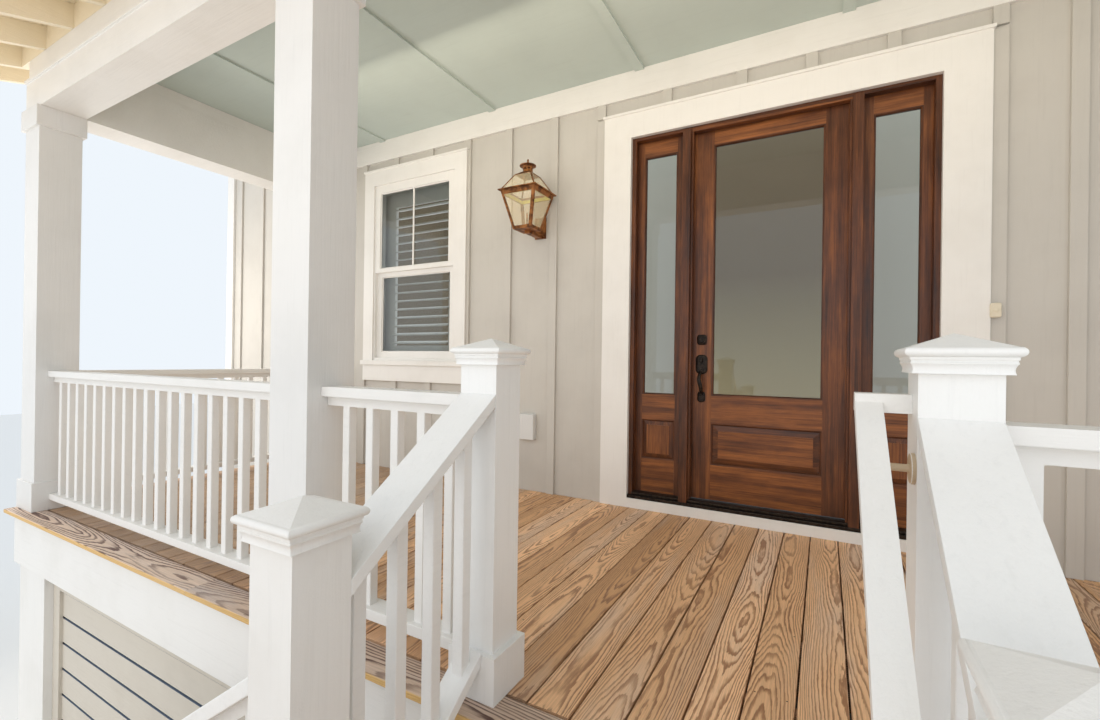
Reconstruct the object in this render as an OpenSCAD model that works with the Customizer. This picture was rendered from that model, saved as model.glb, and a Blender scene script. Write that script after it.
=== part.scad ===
/* [House wall] */
// Thickness of the house wall
wall_t = 130; // [110:5:200]
// Half of the length of house wall behind the porch
wall_half = 5880; // [5300:10:6600]
// Height of the wall above the porch roof
wall_over_roof = 210; // [100:5:700]
// Width of the vertical siding battens
batten_w = 64; // [45:1:90]
// Thickness of the siding battens
batten_t = 19; // [12:1:30]
// Spacing of the siding battens, centre to centre
batten_pitch = 414; // [300:1:610]
// Width of the boards at the ends of the wall
corner_w = 126; // [90:2:180]
// Thickness of the wide flat trim boards on the wall
trim_t = 25; // [20:1:40]
// Height of the frieze board under the porch ceiling
frieze_h = 191; // [140:1:240]

/* [Door opening] */
// Width of the opening for the door and its sidelights
opening_w = 1752; // [1700:2:1900]
// Height of that opening above the porch floor
opening_h = 2592; // [2560:2:2640]
// Width of the side casing boards
casing_w = 201; // [120:1:220]
// Height of the head casing board
head_h = 166; // [120:1:190]
// Thickness of the casing boards
casing_t = 35; // [26:1:45]
// How far the casing laps over the frame
casing_lap = 9; // [4:1:14]
// Height of the white board under the threshold
sill_h = 66; // [40:2:90]

/* [Door] */
// Width of the door slab
slab_w = 904; // [860:2:910]
// Height of the door slab
slab_h = 2438; // [2380:2:2440]
// Thickness of the door slab
slab_t = 45; // [38:1:50]
// Depth from the siding to the outside face of the slab
slab_back = 55; // [45:1:60]
// Running gap round the door slab
door_gap = 5; // [5:0.5:6]
// How far the front of the door's latch edge is planed back
latch_bevel = 2; // [0:0.5:4]
// Width of the posts between door and sidelights
mullion_w = 54; // [44:1:64]
// Thickness of the side jambs
jamb_t = 38; // [30:1:45]
// Width of the stop that the slab closes against
stop_w = 13; // [8:1:16]
// Width of the glass in the door
door_glass_w = 620; // [560:2:640]
// Top of the glass above the porch floor
glass_top = 2440; // [2400:2:2450]
// Bottom of the door glass above the porch floor
glass_low = 808; // [780:2:840]
// Top of the raised panel's recess above the porch floor
panel_top = 600; // [540:2:640]
// Bottom of the raised panel's recess above the porch floor
panel_low = 352; // [320:2:420]
// Thickness of the glass panes
glass_t = 12; // [6:1:18]
// Width of the glass in each sidelight
side_glass_w = 206; // [180:2:220]
// Thickness of the sidelight panels
side_t = 44; // [38:1:46]

/* [Windows] */
// Distance of each window's middle from the middle of the door
window_x = 2920; // [2860:5:3000]
// Width of each window opening
window_w = 984; // [900:2:1060]
// Bottom of the window opening above the porch floor
window_low = 993; // [900:1:1000]
// Top of the window opening above the porch floor
window_top = 2640; // [2560:2:2660]
// Width of the window casing boards
window_casing_w = 118; // [80:1:125]
// Height of the head board of the window casings
window_head_h = 125; // [100:1:140]
// Width of the sash frame round the glass
sash_w = 80; // [60:1:95]
// Bottom of the meeting rails of the sashes above the porch floor
meeting_low = 1775; // [1700:1:1850]
// Height of the two meeting rails together
meeting_h = 75; // [50:1:90]
// Spacing of the shutter louvres inside the windows
louvre_pitch = 78; // [60:1:95]

/* [Porch floor] */
// Depth of the porch floor from the siding to its front edge
deck_d = 2208; // [2100:2:2400]
// Half of the width of the porch floor
deck_half = 4325; // [4300:5:4400]
// Thickness of the floor boards
board_t = 25; // [20:1:38]
// How far the floor laps over the rim board
nosing = 40; // [25:1:50]
// Height of the rim board under the floor
rim_h = 320; // [300:2:360]
// Thickness of the rim board
rim_t = 38; // [25:1:45]
// Height of the floor joists
joist_h = 184; // [140:2:220]
// Thickness of the floor joists
joist_t = 38; // [30:1:50]
// Width of the beams under the joists
deck_beam_w = 140; // [90:2:180]
// Width of the square piers
pier_w = 406; // [300:2:450]
// Distance from the end of the porch floor to the middle of a corner pier
pier_inset = 275; // [245:5:320]
// Height of one slat of the skirt
slat_h = 144; // [100:1:150]
// Open gap between slats of the skirt
slat_gap = 14; // [8:1:20]
// Thickness of the skirt slats
slat_t = 19; // [12:1:25]
// Width of the boards that frame the skirt
skirt_frame_w = 92; // [60:1:120]

/* [Stairs] */
// Height of one step
rise = 178; // [160:0.5:185]
// Depth of one step from nosing to nosing
step_depth = 254; // [250:1:260]
// Steps from the porch floor down to the landing
upper_steps = 3; // [3:1:4]
// Steps from the landing down to the ground
lower_steps = 6; // [5:1:7]
// How far the middle of the stairs lies from the middle of the door
stair_off = -12; // [-40:1:40]
// Distance between the middles of the newel posts
newel_gap = 1144; // [1100:2:1200]
// Thickness of the treads
tread_t = 38; // [25:1:45]
// Thickness of the risers
riser_t = 19; // [12:1:25]
// How far a tread laps over its riser
tread_lap = 25; // [15:1:32]
// Thickness of the stringers
stringer_t = 38; // [30:1:45]
// How far the landing reaches past the newel posts towards the lower flight
landing_edge = 100; // [60:2:130]
// How far the other edges of the landing reach past the newel posts
landing_lip = 36; // [30:1:60]

/* [Columns and newels] */
// Width of a column across the front of the porch
col_w = 232; // [200:1:260]
// Depth of a column
col_d = 212; // [190:1:240]
// Distance from the end of the porch floor to the middle of a corner column
col_inset = 131; // [122:1:160]
// Distance of the inner columns' middles from the middle of the porch
inner_x = 1486; // [1440:2:1560]
// Distance from the siding to the middle of the columns
col_y = 2029; // [2000:1:2040]
// Height of the boards round the foot of a column
plinth_h = 184; // [140:2:240]
// Height of the boards round the head of a column
capital_h = 130; // [120:1:200]
// Thickness of the boards round the foot and head
wrap_t = 16; // [12:1:22]
// Width of a newel post
newel_w = 132; // [120:1:145]
// Distance from the siding to the middle of the upper newels
newel_y = 2055; // [2040:1:2070]
// Height of an upper newel post below its cap
newel_h = 997; // [960:1:1050]
// Height of a landing newel post below its cap
landing_newel_h = 1186; // [1150:1:1250]
// Height of the boards round the foot of a newel
newel_plinth_h = 140; // [100:2:180]
// Height of a newel's cap
cap_h = 82; // [70:1:100]
// How far a newel's cap stands out
cap_out = 25; // [20:1:42]

/* [Guard rails] */
// Height of the top of the guard rails above the floor
guard_h = 900; // [860:1:960]
// Height of the stair rails above the line of the nosings
stair_rail_h = 849; // [820:1:900]
// Thickness of the top rails
rail_t = 38; // [30:1:45]
// Width of the level top rails
rail_w = 96; // [80:1:120]
// Height of the narrow rail under a top rail
sub_rail_h = 36; // [28:1:45]
// Width of the square balusters
baluster_w = 36; // [30:1:45]
// Spacing of the balusters, centre to centre
baluster_pitch = 126; // [110:1:135]
// Bottom of the bottom rails above the floor
bottom_gap = 67; // [50:1:90]
// Width of the bottom rails
bottom_rail_w = 80; // [60:1:90]
// Width of the round-edged handrail
grip_w = 51; // [42:1:60]
// Height of the round-edged handrail
grip_h = 40; // [36:1:50]
// Gap between the newel's side and the handrail
grip_gap = 52; // [44:1:60]

/* [Porch roof] */
// Height of the beams' undersides above the porch floor
beam_low = 2600; // [2560:2:2640]
// Height of the beams
beam_h = 346; // [300:2:360]
// Width of the front beam
beam_w = 226; // [200:2:280]
// Height of the broad lower band on the front beam
band_h = 205; // [160:1:260]
// Height of the inner part of the beams at the ends of the porch
side_beam_h = 348; // [300:2:400]
// Thickness of the board that closes those beams' outer sides
side_board_t = 25; // [19:1:40]
// Height of the ceiling above the porch floor
ceiling_z = 3048; // [3000:2:3100]
// Thickness of the ceiling panels
ceiling_t = 12; // [8:1:20]
// Width of the ceiling battens
ceiling_batten_w = 64; // [40:1:90]
// Spacing of the ceiling battens, centre to centre
ceiling_pitch = 1247; // [600:1:1300]
// Rise of the roof for one unit of run
roof_slope = 0.2917; // [0.2:0.01:0.34]
// Depth of the rafters
rafter_h = 140; // [120:2:160]
// Thickness of the rafters
rafter_t = 38; // [30:1:50]
// Spacing of the rafters, centre to centre
rafter_pitch = 426; // [410:1:620]
// Distance of the rafters under the ends of the roof from the middle of the porch
rake_x = 4808; // [4700:2:5000]
// How far the rafters reach out past the front beam
eave = 515; // [350:5:560]
// Thickness of the roof boards and covering
roof_t = 42; // [30:1:60]

/* [Small fittings] */
// Middle of the doorbell above the porch floor
bell_h = 1299; // [1100:1:1500]
// Width of the doorbell
bell_w = 44; // [30:1:60]
// Height of the doorbell
bell_l = 74; // [60:1:120]
// Distance of the outlet cover's middle from the middle of the door
outlet_x = -1692; // [-1760:2:-1600]
// Width of the outlet cover
outlet_w = 140; // [100:1:160]
// Height of the outlet cover
outlet_h = 200; // [120:1:220]
// Bottom of the outlet cover above the porch floor
outlet_low = 397; // [300:1:450]
// Height of the door's lock above the porch floor
lock_h = 1165; // [1100:1:1250]

/* [Wall lantern] */
// Distance of the lantern's middle from the middle of the door
lantern_x = -1603; // [-1700:1:-1500]
// Distance from the siding to the middle of the lantern
lantern_y = 206; // [185:1:260]
// Underside of the lantern's body above the porch floor
lantern_low = 1970; // [1850:1:2000]
// Height of the lantern's glazed body
lantern_body_h = 275; // [240:1:330]
// Half of the lantern's width at its eaves
lantern_eave = 158; // [140:1:165]
// Half of the lantern's width at its foot
lantern_foot = 75; // [55:1:80]

/* [Hidden] */

trim_white = [0.93, 0.91, 0.87];
siding_grey = [0.74, 0.73, 0.71];
mahogany = [0.32, 0.15, 0.09];
deck_brown = [0.58, 0.42, 0.29];
glass_tint = [0.6, 0.7, 0.75, 0.4];

deck_z = (upper_steps + lower_steps) * rise;
landing_z = lower_steps * rise;
face_y = -wall_t / 2;
inside_y = wall_t / 2;
slope = rise / step_depth;

// Door places
head_z = deck_z + opening_h;
slab_half = slab_w / 2;
mullion_in = slab_half + door_gap;
mullion_out = mullion_in + mullion_w;
jamb_in = opening_w / 2 - jamb_t;
casing_in = opening_w / 2 - casing_lap;
casing_out = casing_in + casing_w;
casing_head = opening_h - 2 * casing_lap;
slab_y0 = face_y + slab_back;
slab_y1 = slab_y0 + slab_t;
frame_front = face_y - trim_t;
threshold_h = opening_h - jamb_t - 2 * door_gap - slab_h;
slab_low = deck_z + threshold_h + door_gap;
slab_top = slab_low + slab_h;
hinge_x = slab_half + 3;
hinge_r = 6.5;
// The barrel stands just clear of the corner of the slab that turns round it
hinge_seat = 0.3;
hinge_y = slab_y1 + sqrt(pow(hinge_r + hinge_seat, 2) - pow(hinge_x - slab_half, 2));
hinge_leaf = 2.5;
hinge_half = 50;
side_mid = (mullion_out + jamb_in) / 2 + 3;

// Window places
window_low_z = deck_z + window_low;
window_top_z = deck_z + window_top;
window_casing_out = window_w / 2 + window_casing_w;
apron_h = 145;
window_sill_h = 42;
cap_mould_h = 18;
cap_mould_out = 9;

// Porch floor places
front_y = face_y - deck_d;
col_x = deck_half - col_inset;
pier_x = deck_half - pier_inset;
rim_y = front_y + nosing;
rim_half = deck_half - nosing;
floor_low = deck_z - board_t;
rim_low = floor_low - rim_h;
joist_low = floor_low - joist_h;
pier_front = rim_y + 23;
skirt_y = pier_front + 62;
first_slat = skirt_frame_w + 8;
column_y = face_y - col_y;
newel_row_y = face_y - newel_y;
beam_z = deck_z + beam_low;
beam_y0 = column_y - col_d / 2;
beam_y1 = beam_y0 + beam_w;
side_beam_in = col_x - col_w / 2 - 4;
side_beam_out = col_x + col_w / 2 + 3;
side_board_in = side_beam_out - side_board_t;
beam_top = beam_z + beam_h;
beam_seat = 100;
ceiling_low = deck_z + ceiling_z;
ceiling_up = ceiling_low + ceiling_t;
roof_half = rake_x + rafter_t / 2 + 30;
rafter_v = rafter_h * sqrt(1 + roof_slope * roof_slope);
function rafter_z(y) = beam_top + (y - beam_y0) * roof_slope;
wall_top = rafter_z(face_y) + rafter_v + roof_t + wall_over_roof;
wall_h = wall_top - deck_z;

// Stair places
upper_low_y = newel_row_y - step_depth * upper_steps + step_depth / 2 - 5;
newel_x = newel_gap / 2;
walk_half = newel_x - newel_w / 2;
plinth_out = wrap_t + 3;
step_half = walk_half - plinth_out;
landing_back_y = upper_low_y + newel_w / 2 + 14;
landing_front_y = upper_low_y - newel_gap - newel_w / 2 - landing_lip;
landing_left = stair_off - newel_x - newel_w / 2 - landing_edge;
landing_right = stair_off + newel_x + newel_w / 2 + landing_lip;
foot_newel_x = landing_left - step_depth * (lower_steps - 1) + landing_edge / 5;
front_newel_y = upper_low_y - newel_gap;

module block(x0, x1, y0, y1, z0, z1) {
    translate([x0, y0, z0]) cube([x1 - x0, y1 - y0, z1 - z0]);
}

module both_sides() {
    children();
    mirror([1, 0, 0]) children();
}

// A flat board cut to an outline that is drawn in X and Z, with its front at y
module front_profile(y, depth) {
    translate([0, y + depth, 0]) rotate([90, 0, 0]) linear_extrude(depth) children();
}

module rect(x0, x1, z0, z1) {
    translate([x0, z0]) square([x1 - x0, z1 - z0]);
}

module wall_side() {
    difference() {
        block(opening_w / 2, wall_half, face_y, inside_y, deck_z, wall_top);
        block(window_x - window_w / 2, window_x + window_w / 2, face_y - 1, inside_y + 1,
            window_low_z, window_top_z);
    }
}

module foundation_wall() {
    color(siding_grey) block(-wall_half, wall_half, face_y, inside_y, 0, deck_z);
}

module wall_left() {
    color(siding_grey) mirror([1, 0, 0]) wall_side();
}

module wall_right() {
    color(siding_grey) wall_side();
}

module wall_over_door() {
    color(siding_grey) block(-opening_w / 2, opening_w / 2, face_y, inside_y, head_z, wall_top);
}

// One batten with its right edge at x, between two heights above the porch floor
module batten(x, low, high) {
    block(x - batten_w, x, face_y - batten_t, face_y, deck_z + low, deck_z + high);
}

batten_left_x = -1455;
batten_right_x = 1426;
over_door_battens = [-590, -114, 277, 681];
batten_end = wall_half - corner_w - batten_w;
frieze_low = ceiling_z - frieze_h;
window_cap_z = window_top + window_head_h + cap_mould_h;
roof_low_z = beam_low + beam_h + (face_y - batten_t - beam_y0) * roof_slope;
function middle(x) = abs(x - batten_w / 2);
function meets_guard(x) = abs(middle(x) - col_x) < (rail_w + batten_w) / 2 + 2;
function batten_top(x) = middle(x) < side_beam_in - batten_w ? frieze_low
    : middle(x) < side_beam_out + batten_w ? beam_low
    : middle(x) < roof_half + batten_w ? roof_low_z - 4 : wall_h;

// A batten of the open wall, cut away where the window casing and its cap sit
module field_batten(x) {
    out = window_casing_out;
    difference() {
        batten(x, meets_guard(x) ? guard_h + 8 : 0, batten_top(x));
        both_sides() {
            block(window_x - out, window_x + out, face_y - trim_t, face_y + 1,
                window_low_z - window_sill_h - apron_h, window_top_z + window_head_h);
            block(window_x - out - cap_mould_out, window_x + out + cap_mould_out,
                face_y - trim_t, face_y + 1, window_top_z + window_head_h,
                deck_z + window_cap_z);
        }
    }
}

module siding_battens() {
    cap_top = casing_head + head_h + cap_mould_h;
    color(siding_grey) {
        for (x = [batten_left_x : -batten_pitch : -batten_end + batten_w])
            field_batten(x);
        for (x = [batten_right_x : batten_pitch : batten_end])
            field_batten(x);
        for (x = [-casing_out, casing_out + batten_w]) {
            batten(x, 0, casing_head + head_h);
            batten(x, cap_top, frieze_low);
        }
        for (x = over_door_battens)
            batten(x, cap_top, frieze_low);
    }
}

// The boards at the ends of the wall and the frieze under the porch ceiling
module wall_trim() {
    color(trim_white) {
        both_sides()
            block(wall_half - corner_w, wall_half, face_y - trim_t, face_y, deck_z, wall_top);
        block(-side_beam_in, side_beam_in, face_y - trim_t, face_y,
            deck_z + frieze_low, ceiling_low);
    }
}

module door_casing() {
    color(trim_white) {
        front_profile(face_y - casing_t, casing_t) translate([0, deck_z]) {
            difference() {
                rect(-casing_out, casing_out, 0, casing_head + head_h);
                rect(-casing_in, casing_in, sill_h, casing_head);
            }
        }
        block(-casing_out - cap_mould_out, casing_out + cap_mould_out,
            face_y - casing_t - cap_mould_out, face_y,
            deck_z + casing_head + head_h, deck_z + casing_head + head_h + cap_mould_h);
    }
}

module window_casing() {
    out = window_casing_out;
    head_top = window_top_z + window_head_h;
    translate([window_x, 0, 0]) {
        front_profile(face_y - casing_t, casing_t) difference() {
            rect(-out, out, window_low_z - window_sill_h - apron_h, head_top);
            rect(-window_w / 2 + casing_lap, window_w / 2 - casing_lap,
                window_low_z, window_top_z - casing_lap);
        }
        block(-out - cap_mould_out, out + cap_mould_out, face_y - casing_t - cap_mould_out,
            face_y, head_top, head_top + cap_mould_h);
        block(-out - 12, out + 12, face_y - casing_t - 22, face_y - casing_t,
            window_low_z - window_sill_h, window_low_z);
    }
}

module window_casings() {
    color(trim_white) both_sides() window_casing();
}

pane_z0 = window_low_z + sash_w;
pane_z1 = deck_z + meeting_low;
pane_z2 = pane_z1 + meeting_h;
pane_z3 = window_top_z - sash_w - 5;
pane_half = window_w / 2 - sash_w;
sash_front = face_y - 22;
sash_depth = 75;
upper_pane_y = sash_front + 14;
sash_step = 29;
lower_pane_y = upper_pane_y + sash_step;

module window_sash_pair() {
    translate([window_x, 0, 0]) difference() {
        union() {
            front_profile(face_y, sash_front + sash_depth - face_y)
                rect(-window_w / 2, window_w / 2, window_low_z, window_top_z);
            front_profile(sash_front, face_y - sash_front)
                rect(-window_w / 2 + casing_lap, window_w / 2 - casing_lap,
                    window_low_z, window_top_z - casing_lap);
        }
        front_profile(sash_front - 1, sash_depth + 2) {
            rect(-pane_half, pane_half, pane_z0, pane_z1);
            rect(-pane_half, pane_half, pane_z2, pane_z3);
        }
        block(-pane_half - 8, pane_half + 8, lower_pane_y, lower_pane_y + glass_t,
            pane_z0 - 8, pane_z1 + 8);
        block(-pane_half - 8, pane_half + 8, upper_pane_y, upper_pane_y + glass_t,
            pane_z2 - 8, pane_z3 + 8);
        // The lower sash lies behind the upper one
        block(-window_w / 2 + 25, window_w / 2 - 25, sash_front - 1, sash_front + sash_step,
            window_low_z + 25, pane_z1 + meeting_h / 2);
    }
}

module window_sashes() {
    color(trim_white) both_sides() window_sash_pair();
}

module window_glass() {
    color(glass_tint) both_sides() translate([window_x, 0, 0]) {
        block(-pane_half - 8, pane_half + 8, lower_pane_y, lower_pane_y + glass_t,
            pane_z0 - 8, pane_z1 + 8);
        block(-pane_half - 8, pane_half + 8, upper_pane_y, upper_pane_y + glass_t,
            pane_z2 - 8, pane_z3 + 8);
    }
}

shutter_stile = 164;
shutter_low_rail = 141;
shutter_top_rail = 198;
louvre_w = 84;
louvre_t = 11;
louvre_tilt = 14;
louvre_room = 20;
shutter_y = inside_y - 31;
shutter_half = window_w / 2 - 2;
louvre_half = shutter_half - shutter_stile;
louvre_low_z = window_low_z + shutter_low_rail;
louvre_top_z = window_top_z - shutter_top_rail;
louvres = floor((louvre_top_z - louvre_low_z - 2 * louvre_room) / louvre_pitch) + 1;

module shutter() {
    translate([window_x, 0, 0]) {
        front_profile(shutter_y, 30) difference() {
            rect(-shutter_half, shutter_half, window_low_z, window_top_z);
            rect(-louvre_half, louvre_half, louvre_low_z, louvre_top_z);
        }
        // The louvres stand evenly in the frame, open, with their back edges up
        for (i = [0 : louvres - 1])
            translate([0, shutter_y + 15, (louvre_low_z + louvre_top_z) / 2
                + louvre_pitch * (i - (louvres - 1) / 2)])
                rotate([louvre_tilt, 0, 0])
                    cube([2 * louvre_half + 2, louvre_w, louvre_t], center = true);
    }
}

module window_shutters() {
    color(trim_white) both_sides() shutter();
}

module door_frame() {
    color(mahogany) {
        // Jambs, posts, head and threshold
        front_profile(face_y, slab_y1 - face_y) translate([0, deck_z]) difference() {
            rect(-opening_w / 2, opening_w / 2, 0, opening_h);
            rect(-mullion_in, mullion_in, threshold_h, opening_h - jamb_t);
            for (s = [0, 1]) mirror([s, 0])
                rect(mullion_out, jamb_in, threshold_h, opening_h - jamb_t);
        }
        // The posts and the threshold stand out to the face of the trim
        for (s = [-1, 1])
            block(s * (mullion_in + mullion_w / 2) - mullion_w / 2,
                s * (mullion_in + mullion_w / 2) + mullion_w / 2,
                frame_front, face_y, deck_z + sill_h, deck_z + casing_head);
        block(-casing_in, casing_in, frame_front, face_y, deck_z + sill_h, deck_z + threshold_h);
        // Stops on the outside of the slab
        front_profile(face_y, slab_back - door_gap) translate([0, deck_z]) difference() {
            rect(-mullion_in, mullion_in, threshold_h, opening_h - jamb_t);
            rect(-mullion_in + stop_w, mullion_in - stop_w, threshold_h - 1,
                opening_h - jamb_t - stop_w);
        }
    }
}

module raised_field(x0, x1, z0, z1, y, depth) {
    // A bevelled panel that rises from its recess
    bevel = 30;
    hull() {
        block(x0, x1, y + depth - 1, y + depth, z0, z1);
        block(x0 + bevel, x1 - bevel, y + 3, y + depth, z0 + bevel, z1 - bevel);
    }
}

side_glass_top = glass_top;
side_glass_low = glass_low - 10;

module sidelight() {
    difference() {
        block(mullion_out, jamb_in, slab_y0, slab_y0 + side_t,
            deck_z + threshold_h, head_z - jamb_t);
        block(side_mid - side_glass_w / 2, side_mid + side_glass_w / 2,
            slab_y0 - 1, slab_y0 + side_t + 1, deck_z + side_glass_low, deck_z + side_glass_top);
        block(side_mid - side_glass_w / 2 - 8, side_mid + side_glass_w / 2 + 8,
            slab_y0 + side_t / 2 - glass_t / 2, slab_y0 + side_t / 2 + glass_t / 2,
            deck_z + side_glass_low - 8, deck_z + side_glass_top + 8);
        block(side_mid - side_glass_w / 2, side_mid + side_glass_w / 2,
            slab_y0 - 1, slab_y0 + 12, deck_z + panel_low, deck_z + panel_top);
    }
    raised_field(side_mid - side_glass_w / 2, side_mid + side_glass_w / 2,
        deck_z + panel_low, deck_z + panel_top, slab_y0, 12);
}

module sidelights() {
    color(mahogany) both_sides() sidelight();
}

module sidelight_glass() {
    color(glass_tint) both_sides()
        block(side_mid - side_glass_w / 2 - 8, side_mid + side_glass_w / 2 + 8,
            slab_y0 + side_t / 2 - glass_t / 2, slab_y0 + side_t / 2 + glass_t / 2,
            deck_z + side_glass_low - 8, deck_z + side_glass_top + 8);
}

hinge_heights = [slab_low + 230, (slab_low + slab_top) / 2, slab_top - 230];

module door_hinges() {
    color([0.12, 0.1, 0.09]) for (z = hinge_heights) {
        translate([hinge_x, hinge_y, z - hinge_half]) cylinder(h = 2 * hinge_half, r = hinge_r);
        block(mullion_in - hinge_leaf, mullion_in, slab_y0 + 8, slab_y1, z - hinge_half,
            z + hinge_half);
        block(mullion_in - hinge_leaf, mullion_in + 2, slab_y1, hinge_y, z - hinge_half,
            z + hinge_half);
    }
}

module door_slab() {
    color(mahogany) {
        difference() {
            // The latch edge is planed back at the front, so that it swings clear of the stop
            translate([0, 0, slab_low]) linear_extrude(slab_h)
                polygon([[latch_bevel - slab_half, slab_y0], [slab_half, slab_y0],
                    [slab_half, slab_y1], [-slab_half, slab_y1]]);
            block(-door_glass_w / 2, door_glass_w / 2, slab_y0 - 1, slab_y1 + 1,
                deck_z + glass_low, deck_z + glass_top);
            block(-door_glass_w / 2 - 8, door_glass_w / 2 + 8,
                slab_y0 + slab_t / 2 - glass_t / 2, slab_y0 + slab_t / 2 + glass_t / 2,
                deck_z + glass_low - 8, deck_z + glass_top + 8);
            block(-door_glass_w / 2, door_glass_w / 2, slab_y0 - 1, slab_y0 + 12,
                deck_z + panel_low, deck_z + panel_top);
        }
        raised_field(-door_glass_w / 2, door_glass_w / 2, deck_z + panel_low,
            deck_z + panel_top, slab_y0, 12);
    }
}

module door_glass() {
    color(glass_tint)
        block(-door_glass_w / 2 - 8, door_glass_w / 2 + 8,
            slab_y0 + slab_t / 2 - glass_t / 2, slab_y0 + slab_t / 2 + glass_t / 2,
            deck_z + glass_low - 8, deck_z + glass_top + 8);
}

handle_x = -slab_half + 66;
bolt_z = deck_z + lock_h;
grip_top_z = deck_z + 1000;
grip_low_z = deck_z + 786;

module plate(x, z, w, h, y, t) {
    block(x - w / 2, x + w / 2, y - t, y, z - h / 2, z + h / 2);
}

module door_handle() {
    color([0.1, 0.08, 0.07]) {
        // Outside: lock rose, upper plate with the thumb piece, grip and lower plate
        translate([handle_x, slab_y0, bolt_z]) rotate([90, 0, 0]) cylinder(h = 14, r = 33);
        translate([handle_x, slab_y0 - 14, bolt_z]) rotate([90, 0, 0]) cylinder(h = 8, r = 15);
        plate(handle_x, grip_top_z, 68, 124, slab_y0, 10);
        plate(handle_x, grip_low_z, 48, 72, slab_y0, 10);
        translate([handle_x, slab_y0 - 8, 0]) rotate([90, 0, -90]) translate([0, 0, -9])
            linear_extrude(18) grip_outline();
        plate(handle_x, grip_top_z + 34, 26, 10, slab_y0 - 10, 42);
        // Inside: rose and lever, and the turn piece of the lock
        translate([handle_x, slab_y1 + 10, grip_top_z]) rotate([90, 0, 0])
            cylinder(h = 10, r = 30);
        translate([handle_x, slab_y1 + 48, grip_top_z]) rotate([90, 0, 0])
            cylinder(h = 38, r = 9);
        block(handle_x - 9, handle_x + 62, slab_y1 + 36, slab_y1 + 50, grip_top_z - 9,
            grip_top_z + 9);
        translate([handle_x, slab_y1 + 10, bolt_z]) rotate([90, 0, 0]) cylinder(h = 10, r = 28);
        block(handle_x - 5, handle_x + 5, slab_y1 + 10, slab_y1 + 28, bolt_z - 16, bolt_z + 16);
    }
}

// Side view of the pull: it leaves the upper plate, bows out and returns to the lower one
module grip_outline() {
    difference() {
        translate([0, grip_low_z]) square([62, grip_top_z - grip_low_z + 14]);
        translate([-1, grip_low_z + 14]) square([47, grip_top_z - grip_low_z - 14]);
        translate([62, grip_low_z]) rotate(45) square(24, center = true);
        translate([62, grip_top_z + 14]) rotate(45) square(24, center = true);
    }
}

lantern_eave_z = lantern_body_h;
lantern_bar = 20;
lantern_shell = 6;

// Half outline of the lantern's glazed body and roof, shrunk on every side by inset
module lantern_outline(inset) {
    polygon([for (q = [[lantern_foot, 0], [lantern_eave - 14, lantern_eave_z],
        [lantern_eave - 14, lantern_eave_z + 8], [shoulder_half, shoulder_z],
        [chimney_r, chimney_z], [-chimney_r, chimney_z], [-shoulder_half, shoulder_z],
        [14 - lantern_eave, lantern_eave_z + 8], [14 - lantern_eave, lantern_eave_z],
        [-lantern_foot, 0]])
        [q[0] - sign(q[0]) * inset, q[1] + (q[1] < 1 ? 1 : q[1] > chimney_z - 1 ? -0.5 : 0) * inset]]);
}

shoulder_half = 69;
shoulder_z = lantern_body_h + 128;
chimney_z = lantern_body_h + 150;
chimney_r = 37;
chimney_h = 48;

// A solid with the same outline seen from the front and from the side
module four_sided(inset) {
    intersection() {
        rotate([90, 0, 0]) translate([0, 0, -lantern_eave]) linear_extrude(2 * lantern_eave)
            lantern_outline(inset);
        rotate([90, 0, 90]) translate([0, 0, -lantern_eave]) linear_extrude(2 * lantern_eave)
            lantern_outline(inset);
    }
}

module lantern_lights() {
    lean = (lantern_eave - 14 - lantern_foot) / lantern_eave_z;
    for (a = [0, 90]) rotate(a)
        rotate([90, 0, 0]) translate([0, 0, -lantern_eave - 9])
            linear_extrude(2 * lantern_eave + 18) {
                polygon([for (q = [[1, 22], [1, lantern_eave_z - 30],
                    [-1, lantern_eave_z - 30], [-1, 22]])
                    [q[0] * (lantern_foot + lean * q[1] - lantern_bar), q[1]]]);
                polygon([[lantern_eave - 28, lantern_eave_z + 16],
                    [shoulder_half - 6, shoulder_z - 4], [6 - shoulder_half, shoulder_z - 4],
                    [28 - lantern_eave, lantern_eave_z + 16]]);
            }
}

module lantern_frame() {
    color([0.42, 0.25, 0.16])
    translate([lantern_x, face_y - lantern_y, deck_z + lantern_low]) {
        difference() {
            union() {
                four_sided(0);
                translate([-lantern_eave, -lantern_eave, lantern_eave_z])
                    cube([2 * lantern_eave, 2 * lantern_eave, 8]);
            }
            four_sided(lantern_shell);
            lantern_lights();
        }
        // Chimney with its vents, cap and knob
        difference() {
            translate([0, 0, chimney_z - 4]) cylinder(h = chimney_h + 4, r = chimney_r);
            for (a = [0 : 45 : 135]) rotate(a)
                translate([0, 60, chimney_z + chimney_h / 2])
                    rotate([90, 0, 0]) cylinder(h = 120, r = 8);
        }
        translate([0, 0, chimney_z + chimney_h]) cylinder(h = 5, r = 61);
        translate([0, 0, chimney_z + chimney_h + 5]) cylinder(h = 16, r1 = 52, r2 = 12);
        translate([0, 0, chimney_z + chimney_h + 21]) cylinder(h = 28, r = 7);
        // Burner
        translate([0, 0, lantern_shell - 1]) cylinder(h = 120, r = 8);
        // Arm and back plate on the wall
        translate([-20, 0, -20]) cube([40, lantern_y - 10, 21]);
        translate([-47, lantern_y - 12, -20]) cube([94, 12, 161]);
    }
}

module lantern_glass() {
    color(glass_tint)
    translate([lantern_x, face_y - lantern_y, deck_z + lantern_low])
        intersection() {
            difference() {
                four_sided(1.5);
                four_sided(lantern_shell - 1);
            }
            lantern_lights();
        }
}

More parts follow.
